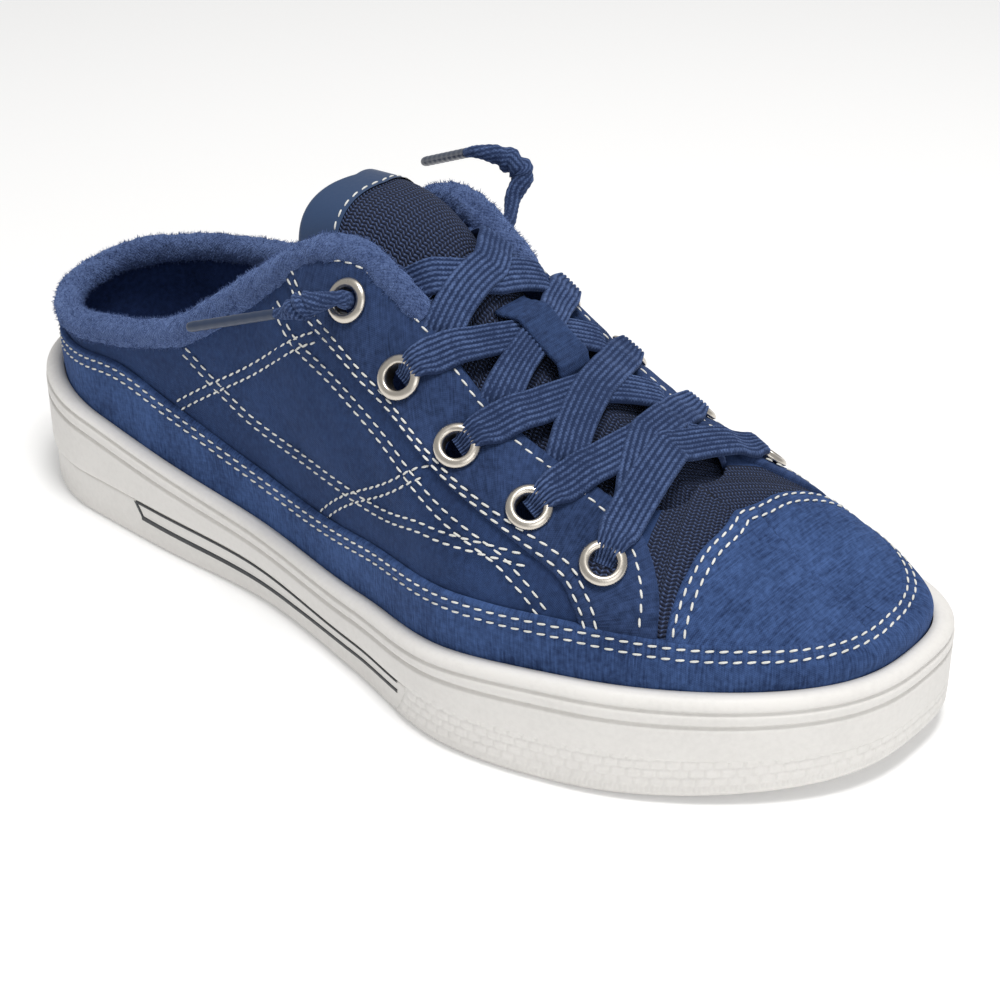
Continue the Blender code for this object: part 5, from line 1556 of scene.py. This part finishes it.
def capsule():
    """One stitch in its own directions: along, across and up."""
    turn = np.linspace(0, np.pi, STITCH_RINGS)[:, None]
    round_way = np.linspace(0, 2 * np.pi, STITCH_SIDES)[None, :]
    along = -np.cos(turn) * STITCH_LENGTH / 2 + 0 * round_way
    swell = np.sin(turn) ** 0.55
    across = swell * np.cos(round_way) * 0.29 * MM
    up = swell * np.sin(round_way) * 0.24 * MM + 0.14 * MM * np.sin(turn) - 0.04 * MM
    return np.stack([along, across, up], -1)


def stitch_row(path, normal, shift=0.0):
    """Stitches at equal steps along a path, moved sideways by shift."""
    way = unit(np.gradient(path, axis=0))
    across = unit(np.cross(normal, way))
    both = np.concatenate([path + across * shift, normal], 1)
    fine = even_path(both, STITCH_PITCH / 8)
    centre = fine[4::8]
    ahead, behind = fine[7::8][:len(centre)], fine[1::8][:len(centre)]
    count = min(len(centre), len(ahead), len(behind))
    along = unit(ahead[:count, :3] - behind[:count, :3])
    up = unit(centre[:count, 3:])
    side = unit(np.cross(up, along))
    slant = unit(along + 0.10 * side)
    axes = np.stack([slant, side, up], 1)
    points = np.einsum("abk,nkc->nabc", capsule(), axes) + centre[:count, None, None, :3]
    return points


def on_panel(surface, first, second, height):
    """Path and normals of a row on a panel, from two parameter arrays."""
    path = surface(first, second, height)
    return path, unit(surface(first, second, height + 0.5 * MM) - path)


rows = []
for name, side in BOTH:
    for table in SEAMS.values():
        path, normal = on_last(side, table, BASE_OUT + 0.02 * MM)
        rows += [stitch_row(path, normal, SEAM_HALF * MM), stitch_row(path, normal, -SEAM_HALF * MM)]
    t = np.linspace(0.0, 0.985, 500)

    def on_facing(t, k, height, side=side):
        return skin(side, *facing_place(side, t, k), height)

    reach = lengths(on_facing(t[:, None], np.linspace(0, 1, 60)[None, :], 0.0), 1)
    for inset in (1.5 * MM, 4.2 * MM):
        k = np.array([np.interp(inset, row, np.linspace(0, 1, 60)) for row in reach])
        rows.append(stitch_row(*on_panel(on_facing, t, k, -0.02 * MM)))
    late = t > 0.10
    k = np.array([np.interp(row[-1] - (4.3 if at > 0.62 else 3.2) * MM, row, np.linspace(0, 1, 60)) for row, at in zip(reach, t)])
    rows.append(stitch_row(*on_panel(on_facing, t[late], k[late], -0.02 * MM)))

p = np.linspace(0.012, 1.988, 1500)
top = by_side(foxing_top, p)
for inset in (1.6, 4.1):
    small = around(p, top, 0.0) - around(p, top - 0.01, 0.0)
    climb = np.linalg.norm(small, axis=-1) / 0.01
    rows.append(stitch_row(*on_panel(around, p, top - inset * MM / climb, 0.28 * MM)))

w = np.linspace(0.06, 1.94, 600)
for inset in (1.4, 4.0):
    zero = 0 * w
    step = np.linalg.norm(cap_surface(w, zero + 0.02, 0.0) - cap_surface(w, zero, 0.0), axis=-1) / 0.02
    rows.append(stitch_row(*on_panel(cap_surface, w, inset * MM / step, -0.02 * MM)))

k = np.linspace(-0.9, 0.9, 120)
low = tongue_edge(0.428)
h = 1 - np.abs(k) * (1 - low)
s = 0.4285 + TONGUE_SWEEP * (1 - h)
sides = [skin(side, s, h, -tongue_depth(side, s, h) + 0.5 * MM) for side in (LATERAL, MEDIAL)]
outs = [normals(side, s, h) for side in (LATERAL, MEDIAL)]
pick = (k <= 0)[:, None]
rows.append(stitch_row(np.where(pick, sides[0], sides[1]), np.where(pick, outs[0], outs[1])))

corners = STITCH_RINGS * STITCH_SIDES
thread = np.concatenate([row.reshape(-1, corners, 3) for row in rows])
cell = grid_faces(STITCH_RINGS, STITCH_SIDES)
faces = (np.arange(len(thread))[:, None, None] * corners + cell[None]).reshape(-1, 4)
places = np.stack(np.meshgrid(np.arange(STITCH_RINGS), np.arange(STITCH_SIDES), indexing="ij"), -1)
uv = np.tile(places.reshape(-1, 2) * 0.4 * MM, (len(thread), 1))
stitches = mesh_object("stitches", thread.reshape(-1, 3), faces, THREAD, uv)
print("stitches:", len(thread))

# %% [markdown]
# ## Floor and light
# The studio is a white floor under a white sky. A large soft light from the upper left gives
# the shoe its shape, and a weaker one from the right keeps its toe open.

# %% Studio


def area_light(name, place, size, power, colour):
    """A soft light that looks at the middle of the shoe."""
    data = bpy.data.lights.new(name, "AREA")
    data.shape = "DISK"
    data.size = size
    data.energy = power
    data.color = colour
    lamp = bpy.data.objects.new(name, data)
    bpy.context.scene.collection.objects.link(lamp)
    place = np.array(place)
    back = unit(place - np.array([0.0, 0.0, 0.04]))
    lamp.location = place
    lamp.rotation_euler = (math.acos(back[2]), 0, math.atan2(back[0], -back[1]))
    return lamp


lights = [
    area_light("key_light", (0.20, -0.05, 1.15), 0.42, 9.0, (1.0, 0.99, 0.97)),
    area_light("fill_light", (0.90, -0.45, 0.50), 0.7, 2.0, (0.97, 0.98, 1.0)),
]
floor_mesh = bpy.data.meshes.new("studio_floor")
floor_mesh.from_pydata([(-6, -6, 0), (6, -6, 0), (6, 6, 0), (-6, 6, 0)], [], [(0, 1, 2, 3)])
floor_material, _, floor_shader = principled("studio_white", (0.94, 0.94, 0.94), 0.65)
floor_shader.inputs["Specular IOR Level"].default_value = 0.25
floor_shader.inputs["Emission Color"].default_value = (1, 1, 1, 1)
floor_shader.inputs["Emission Strength"].default_value = 0.12
floor_mesh.materials.append(floor_material)
floor = bpy.data.objects.new("studio_floor", floor_mesh)
bpy.context.scene.collection.objects.link(floor)

world = bpy.data.worlds.new("studio_sky")
bpy.context.scene.world = world
world.use_nodes = True
world.node_tree.nodes["Background"].inputs["Color"].default_value = (1, 1, 1, 1)
world.node_tree.nodes["Background"].inputs["Strength"].default_value = 0.42
bpy.context.scene.view_settings.view_transform = "Standard"
